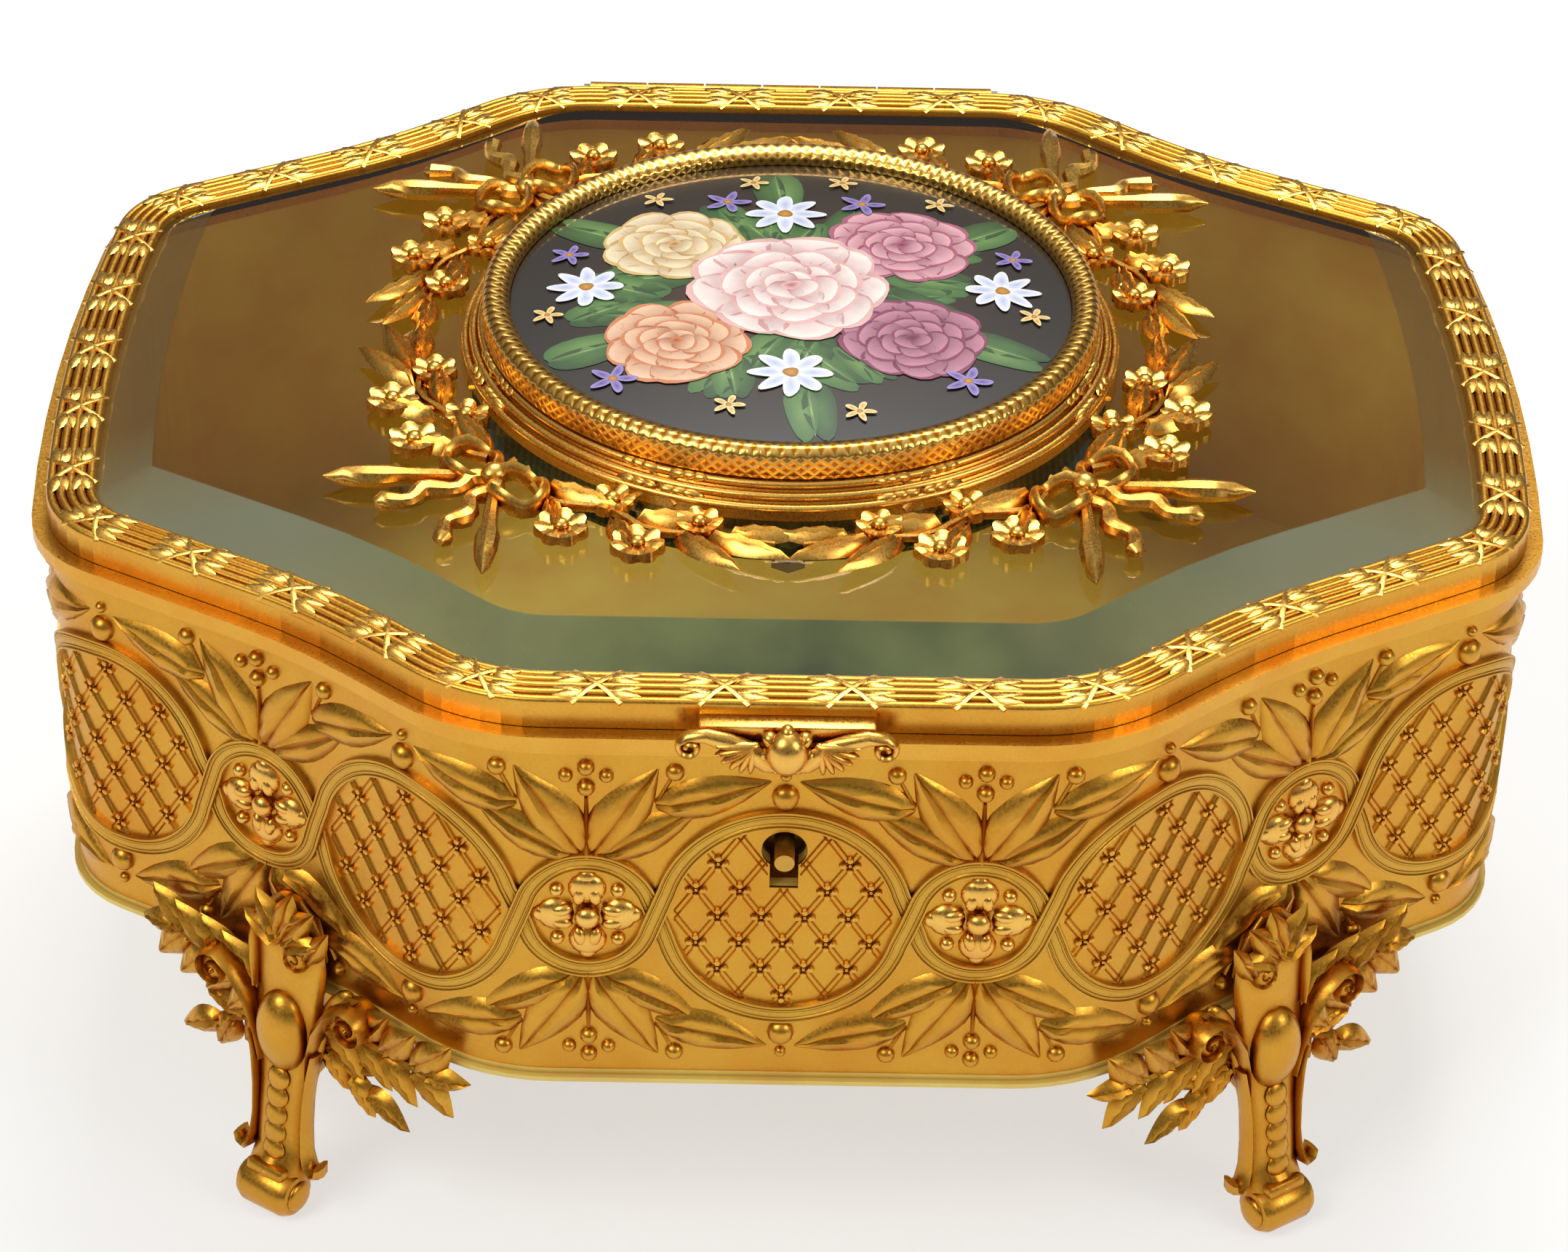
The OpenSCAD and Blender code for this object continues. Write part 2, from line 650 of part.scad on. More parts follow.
// The medallion stands on the glass. Studs hold it through the glass, with nuts below.
stud_r = 1.5;
stud_at = 46.5;
ring_top = glass_top + 5.2;
module medallion_ring() {
    reed = 1.3;
    color(gilt) difference() {
        rotate_extrude($fn = 96) union() {
            translate([plaque_r - 2, glass_top]) square([ring_r - plaque_r + 2, 1.4]);
            translate([plaque_r - 2, glass_top]) square([bezel_r - plaque_r, 3.8]);
            translate([bezel_r - 2.4, glass_top]) square([2.4, ring_top - glass_top]);
            for (i = [0 : 2])
                translate([ring_r - 0.7 - i * reed, glass_top + 1.9 + i * 1.15]) circle(r = 0.85, $fn = 24);
            polygon([
                [ring_r - 0.6, glass_top + 1], [bezel_r - 1, ring_top], [bezel_r - 1, glass_top + 1]
            ]);
        }
        for (t = [0 : 90 : 270])
            rotate([0, 0, t]) translate([stud_at, 0, glass_top - 1])
                cylinder(r = stud_r, h = 3, $fn = 32);
    }
}
module medallion_bezel() {
    top = glass_top + medallion_h;
    color(gilt) rotate_extrude($fn = 96) polygon([
        [plaque_r + 1.6, ring_top], [bezel_r, ring_top], [bezel_r, top - 1], [bezel_r - 1, top],
        [plaque_r + 0.8, top - 0.4], [plaque_r, top - 1.4], [plaque_r, top - 2.4],
        [plaque_r + 1.6, top - 2.4]
    ]);
}
// A porcelain disc with a domed face
module porcelain_plaque() {
    edge_z = glass_top + 3.8;
    rim_z = glass_top + medallion_h - 2.4;
    dome = 1.8;
    r = plaque_r - 0.1;
    ball = (r * r + dome * dome) / (2 * dome);
    face = [
        for (i = [0 : 9])
            let (x = r * i / 9) [x, rim_z + dome - ball + sqrt(ball * ball - x * x)]
    ];
    color("ivory") rotate_extrude($fn = 96)
        polygon(concat(face, [[r + 1.5, rim_z], [r + 1.5, edge_z], [0, edge_z]]));
}
module backing_disc() {
    color(silk) difference() {
        translate([0, 0, glass_z - 0.6]) cylinder(r = 48.5, h = 0.6, $fn = 96);
        for (t = [0 : 90 : 270])
            rotate([0, 0, t]) translate([stud_at, 0, glass_z - 2])
                cylinder(r = stud_r + 0.1, h = 4, $fn = 32);
    }
}
module medallion_studs() {
    color(steel) for (t = [0 : 90 : 270])
        rotate([0, 0, t]) translate([stud_at, 0, glass_z - 2.6])
            cylinder(r = stud_r, h = glass_t + 4.6, $fn = 32);
}
module medallion_nuts() {
    color(steel) for (t = [0 : 90 : 270])
        rotate([0, 0, t]) translate([stud_at, 0, glass_z - 2.2]) difference() {
            cylinder(r = 2.8, h = 1.6, $fn = 6);
            translate([0, 0, -1]) cylinder(r = stud_r, h = 4, $fn = 32);
        }
}

// One quarter of the wreath: a bow on the diagonal and a flowering branch to each side of it
wreath_r = 57;
wreath_t = 2;
// A leaf with a raised rib. The turn is measured from the direction round the ring.
module wreath_leaf(r, a, turn, l, w, z = 0) {
    half = w / 2;
    points = [
        [0, 0, 0], [l * 0.3, half, 0], [l * 0.65, half * 0.8, 0], [l, 0, 0.4],
        [l * 0.65, -half * 0.8, 0], [l * 0.3, -half, 0], [l * 0.15, 0, 1.8], [l * 0.7, 0, 1.6]
    ];
    rotate([0, 0, a]) translate([r, 0, glass_top + z]) rotate([0, 0, 90 + turn])
        hull() polyhedron(points, [[0, 1, 2, 3], [4, 5, 6, 7]]);
}
// A flower of six petals that rise to the middle
module flower(r, a) {
    outline = [
        for (i = [0 : 11])
            let (p = i % 2 == 0 ? 3.8 : 2.2)
            [p * sin(30 * i), p * cos(30 * i), 0]
    ];
    faces = [for (i = [0 : 11]) [i, (i + 1) % 12, 12]];
    rotate([0, 0, a]) translate([r, 0, glass_top])
        polyhedron(concat(outline, [[0, 0, 3.1]]), concat([[for (i = [11 : -1 : 0]) i]], faces));
}
module wreath_quarter() {
    color(gilt) union() {
        // The branch is a thin curved rod
        rotate([0, 0, -88]) rotate_extrude(angle = 86, $fn = 36)
            translate([wreath_r - 0.7, glass_top]) square([1.4, wreath_t]);
        for (side = [-1, 1]) {
            for (i = [0 : 2]) {
                flower(wreath_r + (i % 2 == 0 ? 3.4 : -1), -45 + side * (13 + 9 * i));
                wreath_leaf(wreath_r, -45 + side * (14 + 9 * i), side < 0 ? 205 : -25, 11, 3.6);
                wreath_leaf(wreath_r, -45 + side * (18 + 8 * i), side < 0 ? 160 : 20, 8, 3.2);
            }
        }
        // The bow: two loops, two tails and the torch that it ties
        for (side = [-1, 1]) {
            wreath_leaf(wreath_r + 2, -45, side < 0 ? 200 : -20, 10, 5.6, 0.6);
            wreath_leaf(wreath_r + 2, -45, -90 + side * 38, 15, 4.4, 0.3);
        }
        rotate([0, 0, -45]) translate([wreath_r + 1, 0, glass_top]) cylinder(r = 2.2, h = 4, $fn = 10);
    }
}
module wreath_front_right() { quarter_at(1, -1) wreath_quarter(); }
module wreath_front_left() { quarter_at(-1, -1) wreath_quarter(); }
module wreath_back_right() { quarter_at(1, 1) wreath_quarter(); }
module wreath_back_left() { quarter_at(-1, 1) wreath_quarter(); }

side_wall();
wall_frieze();
top_flange();
base_plate();
foot_front_left();
foot_front_right();
foot_back_left();
foot_back_right();
foot_screws();
foot_nuts();
lock_case();
lock_cap();
lock_post();
lock_screws();
lock_bolt();
hinge_body_leaf();
hinge_pin();
hinge_rivets();
hinge_lid_leaf();
lid_frame();
rim_moulding();
lid_glass();
glass_retainer();
thumb_piece();
lock_strike();
medallion_ring();
medallion_bezel();
porcelain_plaque();
backing_disc();
medallion_studs();
medallion_nuts();
wreath_front_left();
wreath_front_right();
wreath_back_left();
wreath_back_right();
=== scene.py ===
"""A gilt bronze table casket with a bevelled glass lid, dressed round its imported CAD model."""

from __future__ import annotations

import logging
import math
import random
from collections.abc import Callable, Sequence
from dataclasses import Field, dataclass, field
from enum import Enum

import bmesh
import bpy
from mathutils import Matrix, Vector


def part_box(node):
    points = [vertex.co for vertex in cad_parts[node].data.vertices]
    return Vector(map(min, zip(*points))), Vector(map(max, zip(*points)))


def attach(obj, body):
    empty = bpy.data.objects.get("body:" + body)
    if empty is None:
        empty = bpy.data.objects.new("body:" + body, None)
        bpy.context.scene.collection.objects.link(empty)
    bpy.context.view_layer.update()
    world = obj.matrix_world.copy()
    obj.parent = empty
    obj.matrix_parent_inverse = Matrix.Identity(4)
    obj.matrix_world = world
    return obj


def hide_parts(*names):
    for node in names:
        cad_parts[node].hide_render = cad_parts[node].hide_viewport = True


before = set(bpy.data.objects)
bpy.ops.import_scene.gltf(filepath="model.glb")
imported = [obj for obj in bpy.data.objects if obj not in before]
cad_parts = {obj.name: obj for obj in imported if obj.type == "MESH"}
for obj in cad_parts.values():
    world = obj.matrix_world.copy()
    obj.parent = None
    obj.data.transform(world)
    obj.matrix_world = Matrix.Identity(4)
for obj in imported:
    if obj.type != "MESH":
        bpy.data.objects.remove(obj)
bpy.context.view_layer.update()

log = logging.getLogger("casket")
MM = 0.001

# Heights that the solids give, in metres
BASE_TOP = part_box("base_plate")[1].z
GLASS_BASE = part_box("lid_glass")[0].z
GLASS_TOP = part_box("lid_glass")[1].z
BEZEL_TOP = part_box("medallion_bezel")[1].z
BAND_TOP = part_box("lid_frame")[1].z
FRIEZE_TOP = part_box("wall_frieze")[1].z
FRIEZE_MID = (BASE_TOP + FRIEZE_TOP) / 2

# Faces that meet at a sharper angle keep a hard edge
SHARP = math.radians(42)
# Stations of a moulding that runs round the box
STATIONS = 420
# Ovals round the wall, with as many roundels between them
OVALS = 12
QUARTER_TURNS = (0, 90, 180, 270)
UP = Vector((0, 0, 1))
WHITE = (1.0, 1.0, 1.0, 1.0)

Placer = Callable[[Vector], Vector]


class Body(Enum):
    """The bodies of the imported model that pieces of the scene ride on."""

    BOX = "body"
    LID = "lid"


def linear(code: str) -> tuple[float, float, float, float]:
    """Turns an sRGB hex value to linear colour.

    Args:
        code: six hex digits.

    Returns:
        Red, green, blue and an alpha of 1.
    """
    parts = [int(code[i : i + 2], 16) / 255 for i in (0, 2, 4)]
    red, green, blue = (p / 12.92 if p <= 0.04045 else ((p + 0.055) / 1.055) ** 2.4 for p in parts)
    return red, green, blue, 1.0


# Plan and wall


@dataclass(frozen=True)
class Stretch:
    """One straight or round stretch of the plan line.

    Attributes:
        length: how long it is, in metres.
        bend: its curvature, positive where the line turns left and 0 where it is straight.
    """

    length: float
    bend: float = 0.0


@dataclass
class Plan:
    """The serpentine line of the wall, measured from the middle of the front towards +X."""

    depth: float = 89.0 * MM
    flat: float = 33 * MM
    bend_r: float = 28.6 * MM
    bend_to: float = math.radians(40.5)
    flank_in: float = 9.7 * MM
    hollow_r: float = 107.6 * MM
    hollow_to: float = math.radians(29)
    flank_out: float = 25.4 * MM
    corner_r: float = 16.0 * MM
    corner_to: float = math.radians(84)
    stretches: list[Stretch] = field(default_factory=list)
    quarter: float = 0.0

    def __post_init__(self) -> None:
        """Lays out the stretches of one quarter."""
        self.stretches = [
            Stretch(self.flat),
            Stretch(self.bend_r * self.bend_to, 1 / self.bend_r),
            Stretch(self.flank_in),
            Stretch(self.hollow_r * (self.bend_to - self.hollow_to), -1 / self.hollow_r),
            Stretch(self.flank_out),
            Stretch(self.corner_r * (self.corner_to - self.hollow_to), 1 / self.corner_r),
        ]
        so_far = sum(s.length for s in self.stretches)
        left = -self.walk(so_far)[1]
        bow_r = left / math.cos(self.corner_to)
        self.stretches.append(Stretch(bow_r * (math.pi / 2 - self.corner_to), 1 / bow_r))
        self.quarter = sum(s.length for s in self.stretches)

    def walk(self, distance: float) -> tuple[float, float, float]:
        """Finds a point on the quarter at the front right.

        Args:
            distance: how far along the line it is.

        Returns:
            Its x and y, and the heading of the line there.
        """
        x, y, heading = 0.0, -self.depth, 0.0
        left = distance
        for part in self.stretches:
            step = min(left, part.length)
            if part.bend:
                turned = heading + step * part.bend
                x += (math.sin(turned) - math.sin(heading)) / part.bend
                y -= (math.cos(turned) - math.cos(heading)) / part.bend
                heading = turned
            else:
                x += step * math.cos(heading)
                y += step * math.sin(heading)
            left -= step
            if left <= 0:
                break
        return x, y, heading

    def at(self, distance: float, out: float = 0.0) -> tuple[float, float]:
        """Finds a point anywhere round the wall.

        Args:
            distance: how far along the line it is.
            out: how far outside the line it is.

        Returns:
            Its x and y.
        """
        u = distance % (4 * self.quarter)
        k = int(u // self.quarter)
        v = u - k * self.quarter if k % 2 == 0 else (k + 1) * self.quarter - u
        x, y, heading = self.walk(v)
        x += out * math.sin(heading)
        y -= out * math.cos(heading)
        return (x if k < 2 else -x), (y if k in (0, 3) else -y)

    def bend(self, centre: float, height: float) -> Placer:
        """Makes the move that lays a flat shape on the wall.

        Args:
            centre: where its x of 0 comes to, along the wall.
            height: where its y of 0 comes to.

        Returns:
            A function that takes x along, y up and z out.
        """

        def place(p: Vector) -> Vector:
            """Moves one point."""
            x, y = self.at(centre + p.x, p.z)
            return Vector((x, y, height + p.y))

        return place

    def lay(self, centre: float, inset: float, level: float) -> Placer:
        """Makes the move that lays a flat shape on top of the plan line.

        Args:
            centre: where its x of 0 comes to, along the wall.
            inset: how far inside the line its y of 0 comes to.
            level: the height of its z of 0.

        Returns:
            A function that takes x along, y inwards and z up.
        """

        def place(p: Vector) -> Vector:
            """Moves one point."""
            x, y = self.at(centre + p.x, -inset - p.y)
            return Vector((x, y, level + p.z))

        return place


PLAN = Plan()
# From the middle of an oval to the middle of the next roundel
STEP = 2 * PLAN.quarter / OVALS


# Shapes


def turned(angle: float, axis: str = "Z") -> Matrix:
    """A turn about one axis, from degrees."""
    return Matrix.Rotation(math.radians(angle), 4, axis)


def moved(x: float = 0.0, y: float = 0.0, z: float = 0.0) -> Matrix:
    """A move, from millimetres."""
    return Matrix.Translation(Vector((x, y, z)) * MM)


def scaled(x: float, y: float, z: float) -> Matrix:
    """A stretch along the three axes."""
    return Matrix.Diagonal((x, y, z, 1))


def place_all(verts: Sequence[bmesh.types.BMVert], place: Placer) -> None:
    """Moves each vertex by a function."""
    for v in verts:
        v.co = place(v.co)


def add_ball(bm: bmesh.types.BMesh, at: Matrix, rings: int = 6, turns: int = 10) -> None:
    """Adds a ball of radius 1 mm, stretched and placed by a matrix."""
    bmesh.ops.create_uvsphere(bm, u_segments=turns, v_segments=rings, radius=MM, matrix=at)


def add_block(bm: bmesh.types.BMesh, at: Matrix, soft: float) -> None:
    """Adds a cube of 1 mm, stretched and placed by a matrix, with its edges rounded by soft millimetres."""
    block = bmesh.ops.create_cube(bm, size=MM, matrix=at)
    edges = list({e for v in block["verts"] for e in v.link_edges})
    bmesh.ops.bevel(
        bm, geom=edges, offset=soft * MM, segments=2, profile=0.5, affect="EDGES", material=-1
    )


def add_leaf(
    bm: bmesh.types.BMesh,
    at: Matrix,
    length: float,
    width: float,
    height: float,
    curl: float = 0.0,
    across: int = 4,
    along: int = 7,
) -> None:
    """Adds a leaf that grows along +Y on the plane z = 0, with a groove along its rib.

    Args:
        bm: the mesh that it goes into.
        at: its place.
        length: its length in millimetres.
        width: its widest part.
        height: how far its crown stands up.
        curl: how far its tip swings to +X.
        across: faces from rib to edge.
        along: faces from stalk to tip.
    """
    grid = bmesh.ops.create_grid(bm, x_segments=2 * across, y_segments=along, size=1)
    for v in grid["verts"]:
        t = (v.co.y + 1) / 2
        side = v.co.x
        half = width / 2 * math.sin(math.pi * (0.04 + 0.96 * t) ** 0.8) + 0.12
        crown = math.cos(side * math.pi / 2) ** 0.6 if abs(side) < 1 else 0.0
        groove = 0.4 if abs(side) < 0.01 else 0.0
        vein = 0.13 * math.sin(t * 26 - abs(side) * 6) if 0.1 < abs(side) < 0.95 else 0.0
        ends = min(1.0, along * t, along * (1 - t))
        rise = height * ends * (0.5 + 0.5 * math.sin(math.pi * min(1, 0.3 + t * 0.8)))
        v.co = Vector((
            side * half + curl * t * t,
            t * length,
            max(0.0, crown - groove + vein) * rise,
        )) * MM
    bmesh.ops.transform(bm, matrix=at, verts=grid["verts"])


def add_sweep(
    bm: bmesh.types.BMesh,
    route: Sequence[Vector],
    widths: Sequence[float] | float,
    thick: Sequence[float] | float,
    flat: Vector,
    sides: int = 8,
) -> None:
    """Sweeps an oval along a route and closes its ends.

    Args:
        bm: the mesh that it goes into.
        route: its points, in millimetres.
        widths: its width at each point or everywhere, square to flat.
        thick: its thickness at each point or everywhere, along flat.
        flat: the direction that its thickness lies in.
        sides: faces round it.
    """
    widths = [widths] * len(route) if isinstance(widths, float) else widths
    thick = [thick] * len(route) if isinstance(thick, float) else thick
    frames: list[Matrix] = []
    for i, p in enumerate(route):
        ahead = (route[min(i + 1, len(route) - 1)] - route[max(i - 1, 0)]).normalized()
        across = ahead.cross(flat).normalized()
        up = across.cross(ahead).normalized()
        turn = Matrix((across, up, ahead)).transposed().to_4x4()
        frames.append(Matrix.Translation(p * MM) @ turn @ scaled(widths[i] / 2, thick[i] / 2, 1))
    ring = bmesh.ops.create_circle(bm, cap_ends=True, segments=sides, radius=MM)
    face = ring["verts"][0].link_faces[0]
    face.normal_flip()
    base = [v.co.copy() for v in face.verts]
    for v, co in zip(face.verts, base):
        v.co = frames[0] @ co
    for here in frames[1:]:
        made = bmesh.ops.extrude_face_region(bm, geom=[face])["geom"]
        old = face
        face = next(g for g in made if isinstance(g, bmesh.types.BMFace))
        if old.is_valid and here is not frames[1]:
            bmesh.ops.delete(bm, geom=[old], context="FACES_ONLY")
        for v, co in zip(face.verts, base):
            v.co = here @ co


def spiral(
    centre: Vector, start: float, radius: float, turns: float, shrink: float, across: Vector, up: Vector
) -> list[Vector]:
    """Points of a scroll that winds inwards.

    Args:
        centre: the eye of the scroll, in millimetres.
        start: the angle of its outer end in degrees, from across towards up.
        radius: its outer radius.
        turns: how many turns it makes, negative for clockwise.
        shrink: the share of the radius that is left at the eye.
        across: the first direction of its plane.
        up: the second direction of its plane.

    Returns:
        The points from the outside in.
    """
    count = max(6, int(abs(turns) * 16))
    points = []
    for i in range(count + 1):
        t = i / count
        a = math.radians(start) + 2 * math.pi * turns * t
        r = radius * (1 - (1 - shrink) * t)
        points.append(centre + across * (r * math.cos(a)) + up * (r * math.sin(a)))
    return points


def put(name: str, data: bpy.types.ID) -> bpy.types.Object:
    """Puts a new object with this data in the scene."""
    fresh = bpy.data.objects.new(name, data)
    bpy.context.scene.collection.objects.link(fresh)
    return fresh


def make_piece(
    name: str,
    bm: bmesh.types.BMesh,
    body: Body,
    finish: bpy.types.Material,
    replaces: Sequence[str] = (),
    merge: bool = True,
) -> bpy.types.Object:
    """Turns a bmesh to a piece that rides on a body.

    Args:
        name: its name.
        bm: its mesh, which is freed.
        body: the body it moves with.
        finish: its material.
        replaces: CAD nodes that it stands for.
        merge: whether doubles are merged and normals recalculated.

    Returns:
        The new object.
    """
    if merge:
        bmesh.ops.remove_doubles(bm, verts=bm.verts, dist=0.002 * MM)
        bmesh.ops.recalc_face_normals(bm, faces=bm.faces)
    for f in bm.faces:
        f.smooth = True
    for e in bm.edges:
        e.smooth = len(e.link_faces) == 2 and e.calc_face_angle(0.0) < SHARP
    mesh = bpy.data.meshes.new(name)
    bm.to_mesh(mesh)
    bm.free()
    mesh.materials.append(finish)
    piece = put(name, mesh)
    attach(piece, body.value)
    if replaces:
        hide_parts(*replaces)
    log.info("%s: %d faces", name, len(mesh.polygons))
    return piece


def cut_away(piece: bpy.types.Object, cutter: bmesh.types.BMesh) -> None:
    """Cuts a closed shape out of a piece.

    Args:
        piece: the piece.
        cutter: the shape, which is freed.
    """
    mesh = bpy.data.meshes.new("cutter")
    cutter.to_mesh(mesh)
    cutter.free()
    tool = put("cutter", mesh)
    cut = piece.modifiers.new("cut", "BOOLEAN")
    cut.operation = "DIFFERENCE"
    cut.object = tool
    cut.solver = "EXACT"
    seen = piece.evaluated_get(bpy.context.evaluated_depsgraph_get())
    fresh = bpy.data.meshes.new_from_object(seen)
    piece.modifiers.remove(cut)
    piece.data = fresh
    bpy.data.objects.remove(tool)


def copies(bm: bmesh.types.BMesh, unit: bmesh.types.BMesh, places: Sequence[Placer]) -> None:
    """Adds a flat unit once for each place, and frees it."""
    mesh = bpy.data.meshes.new("unit")
    unit.to_mesh(mesh)
    unit.free()
    for place in places:
        before = len(bm.verts)
        bm.from_mesh(mesh)
        bm.verts.ensure_lookup_table()
        place_all(bm.verts[before:], place)
    bpy.data.meshes.remove(mesh)


# Finishes


def add(
    tree: bpy.types.NodeTree,
    kind: str,
    inputs: dict[str | int, object] | None = None,
    **settings: object,
) -> bpy.types.Node:
    """Adds a node.

    Args:
        tree: the node tree.
        kind: the node's type.
        inputs: what goes into its sockets. An output is linked, and anything else is set as a value.
        **settings: its own settings.

    Returns:
        The node.
    """
    node = tree.nodes.new(kind)
    for key, value in settings.items():
        setattr(node, key, value)
    for key, value in (inputs or {}).items():
        if isinstance(value, bpy.types.NodeSocket):
            tree.links.new(value, node.inputs[key])
        else:
            node.inputs[key].default_value = value
    return node


def ramp(
    tree: bpy.types.NodeTree, source: bpy.types.NodeSocket, stops: Sequence[tuple[float, str]]
) -> bpy.types.NodeSocket:
    """Adds a colour ramp.

    Args:
        tree: the node tree.
        source: the factor.
        stops: places and sRGB hex colours.

    Returns:
        Its colour output.
    """
    node = add(tree, "ShaderNodeValToRGB", {"Fac": source})
    elements = node.color_ramp.elements
    while len(elements) < len(stops):
        elements.new(0.5)
    for element, (place, code) in zip(elements, stops):
        element.position = place
        element.color = linear(code)
    return node.outputs["Color"]


def maths(tree: bpy.types.NodeTree, operation: str, *parts: object) -> bpy.types.NodeSocket:
    """Adds a calculation on numbers or outputs, and returns its output."""
    return add(tree, "ShaderNodeMath", dict(enumerate(parts)), operation=operation).outputs[0]


def spread(
    tree: bpy.types.NodeTree,
    value: bpy.types.NodeSocket,
    low: float,
    high: float,
    to_low: float = 0.0,
    to_high: float = 1.0,
) -> bpy.types.NodeSocket:
    """Adds a node that maps the values from low to high to another range, and returns its output."""
    ends = {"From Min": low, "From Max": high, "To Min": to_low, "To Max": to_high}
    return add(tree, "ShaderNodeMapRange", {"Value": value, **ends}).outputs["Result"]


def noise(
    tree: bpy.types.NodeTree, where: bpy.types.NodeSocket, scale: float, detail: float
) -> bpy.types.NodeSocket:
    """Adds a noise whose marks are 1 / scale metres across, and returns its value."""
    inputs = {"Vector": where, "Scale": scale, "Detail": detail}
    return add(tree, "ShaderNodeTexNoise", inputs).outputs["Fac"]


def bumped(
    tree: bpy.types.NodeTree,
    height: bpy.types.NodeSocket,
    strength: float,
    distance: float,
    under: bpy.types.NodeSocket | None = None,
) -> bpy.types.NodeSocket:
    """Adds a bump, on top of another normal where one is given, and returns its normal."""
    inputs = {"Height": height, "Strength": strength, "Distance": distance}
    if under is not None:
        inputs["Normal"] = under
    return add(tree, "ShaderNodeBump", inputs).outputs["Normal"]


def blend(
    tree: bpy.types.NodeTree, factor: object, first: object, second: object, kind: str = "MIX"
) -> bpy.types.NodeSocket:
    """Adds a mix of two colours, and returns its colour."""
    inputs = {0: factor, 6: first, 7: second}
    return add(tree, "ShaderNodeMix", inputs, data_type="RGBA", blend_type=kind).outputs[2]


def mixed(
    tree: bpy.types.NodeTree,
    share: bpy.types.NodeSocket,
    first: bpy.types.NodeSocket,
    second: bpy.types.NodeSocket,
) -> bpy.types.NodeSocket:
    """Adds a mix of two shaders, and returns its shader."""
    return add(tree, "ShaderNodeMixShader", {"Fac": share, 1: first, 2: second}).outputs[0]


def start(name: str) -> tuple[bpy.types.Material, bpy.types.NodeTree, bpy.types.NodeSocket]:
    """Starts a material.

    Args:
        name: its name.

    Returns:
        The material, its empty tree and the object coordinates.
    """
    material = bpy.data.materials.new(name)
    material.use_nodes = True
    tree = material.node_tree
    tree.nodes.clear()
    where = add(tree, "ShaderNodeTexCoord").outputs["Object"]
    return material, tree, where


def end(tree: bpy.types.NodeTree, shader: bpy.types.NodeSocket) -> None:
    """Leads a shader to the material's output."""
    add(tree, "ShaderNodeOutputMaterial", {"Surface": shader})


def end_solid(tree: bpy.types.NodeTree, inputs: dict[str | int, object]) -> None:
    """Leads a solid surface with these values and outputs to the material's output."""
    end(tree, add(tree, "ShaderNodeBsdfPrincipled", inputs).outputs["BSDF"])


@dataclass(frozen=True)
class GiltBronze:
    """Bronze gilded by fire: matt gold, with painted shade that turns it orange-brown in its recesses and
    lighter painted light on its open crests.

    Attributes:
        name: the material's name.
        crest_light: colour of the open crests, made lighter as painted light.
        face: colour of the plain surfaces.
        recess_shade: colour deep in the relief, made darker as painted shade.
        roughness: roughness of the plain surfaces.
        reach: how wide the painted shade of the recesses reaches, in metres.
        grain: height of the fine grain, in metres.
        bump: strength of the grain and the dents.
        metal: how metallic it is. The inside, which only stray light reaches, is a little matt.
    """

    name: str
    crest_light: str = "D5A340"
    face: str = "C08626"
    recess_shade: str = "8E500B"
    roughness: float = 0.34
    reach: float = 1.8 * MM
    grain: float = 0.02 * MM
    bump: float = 0.7
    metal: float = 1.0

    def build(self) -> bpy.types.Material:
        """Builds the material."""
        material, tree, where = start(self.name)
        # Ambient occlusion paints shade into the recesses and lighter colour on the open crests
        painted_shade_mask = add(
            tree, "ShaderNodeAmbientOcclusion", {"Distance": self.reach}, samples=8, only_local=True
        ).outputs["AO"]
        shade = ramp(tree, painted_shade_mask, [(0.22, self.recess_shade), (0.7, self.face), (1.0, self.crest_light)])
        # Patches of redder and paler gold about 12 mm across
        tone = ramp(tree, noise(tree, where, 85.0, 3.0), [(0.35, "FFF4E0"), (0.7, "F2C99A")])
        colour = blend(tree, 0.55, shade, tone, "MULTIPLY")
        # Grain of the matt gilding, about 0.4 mm, and soft dents of the casting
        grain = noise(tree, where, 2400.0, 3.0)
        dents = noise(tree, where, 420.0, 2.0)
        small = bumped(tree, grain, self.bump, self.grain)
        normal = bumped(tree, dents, self.bump, 2.5 * self.grain, small)
        rough = spread(tree, grain, 0.3, 0.7, self.roughness - 0.07, self.roughness + 0.1)
        end_solid(
            tree, {"Base Color": colour, "Metallic": self.metal, "Roughness": rough, "Normal": normal}
        )
        return material


@dataclass(frozen=True)
class Knurled:
    """Bright gilt with a fine crossed cut, as the top of the bezel has.

    Attributes:
        name: the material's name.
        cuts: how many cuts run each way round the bezel.
        slope: how far a cut leans, in radians of its wave per metre of radius.
        depth: how deep the cuts are, in metres.
    """

    name: str = "gilt_bronze_knurled"
    cuts: float = 150.0
    slope: float = 3800.0
    depth: float = 0.06 * MM

    def build(self) -> bpy.types.Material:
        """Builds the material."""
        material, tree, where = start(self.name)
        parts = add(tree, "ShaderNodeSeparateXYZ", {"Vector": where}).outputs
        angle = maths(tree, "ARCTAN2", parts["Y"], parts["X"])
        radius = add(tree, "ShaderNodeVectorMath", {0: where}, operation="LENGTH").outputs["Value"]
        waves = []
        for way in (1.0, -1.0):
            turn = maths(tree, "MULTIPLY", angle, self.cuts)
            lean = maths(tree, "MULTIPLY", radius, way * self.slope)
            waves.append(maths(tree, "SINE", maths(tree, "ADD", turn, lean)))
        cut = maths(tree, "MAXIMUM", *waves)
        normal = bumped(tree, cut, 0.6, self.depth)
        # The cuts are painted darker and the ridges between them lighter: painted shade in the grooves
        colour = ramp(tree, spread(tree, cut, -0.6, 0.9), [(0.0, "B87426"), (0.7, "EDBE62")])
        end_solid(tree, {"Base Color": colour, "Metallic": 1.0, "Roughness": 0.26, "Normal": normal})
        return material


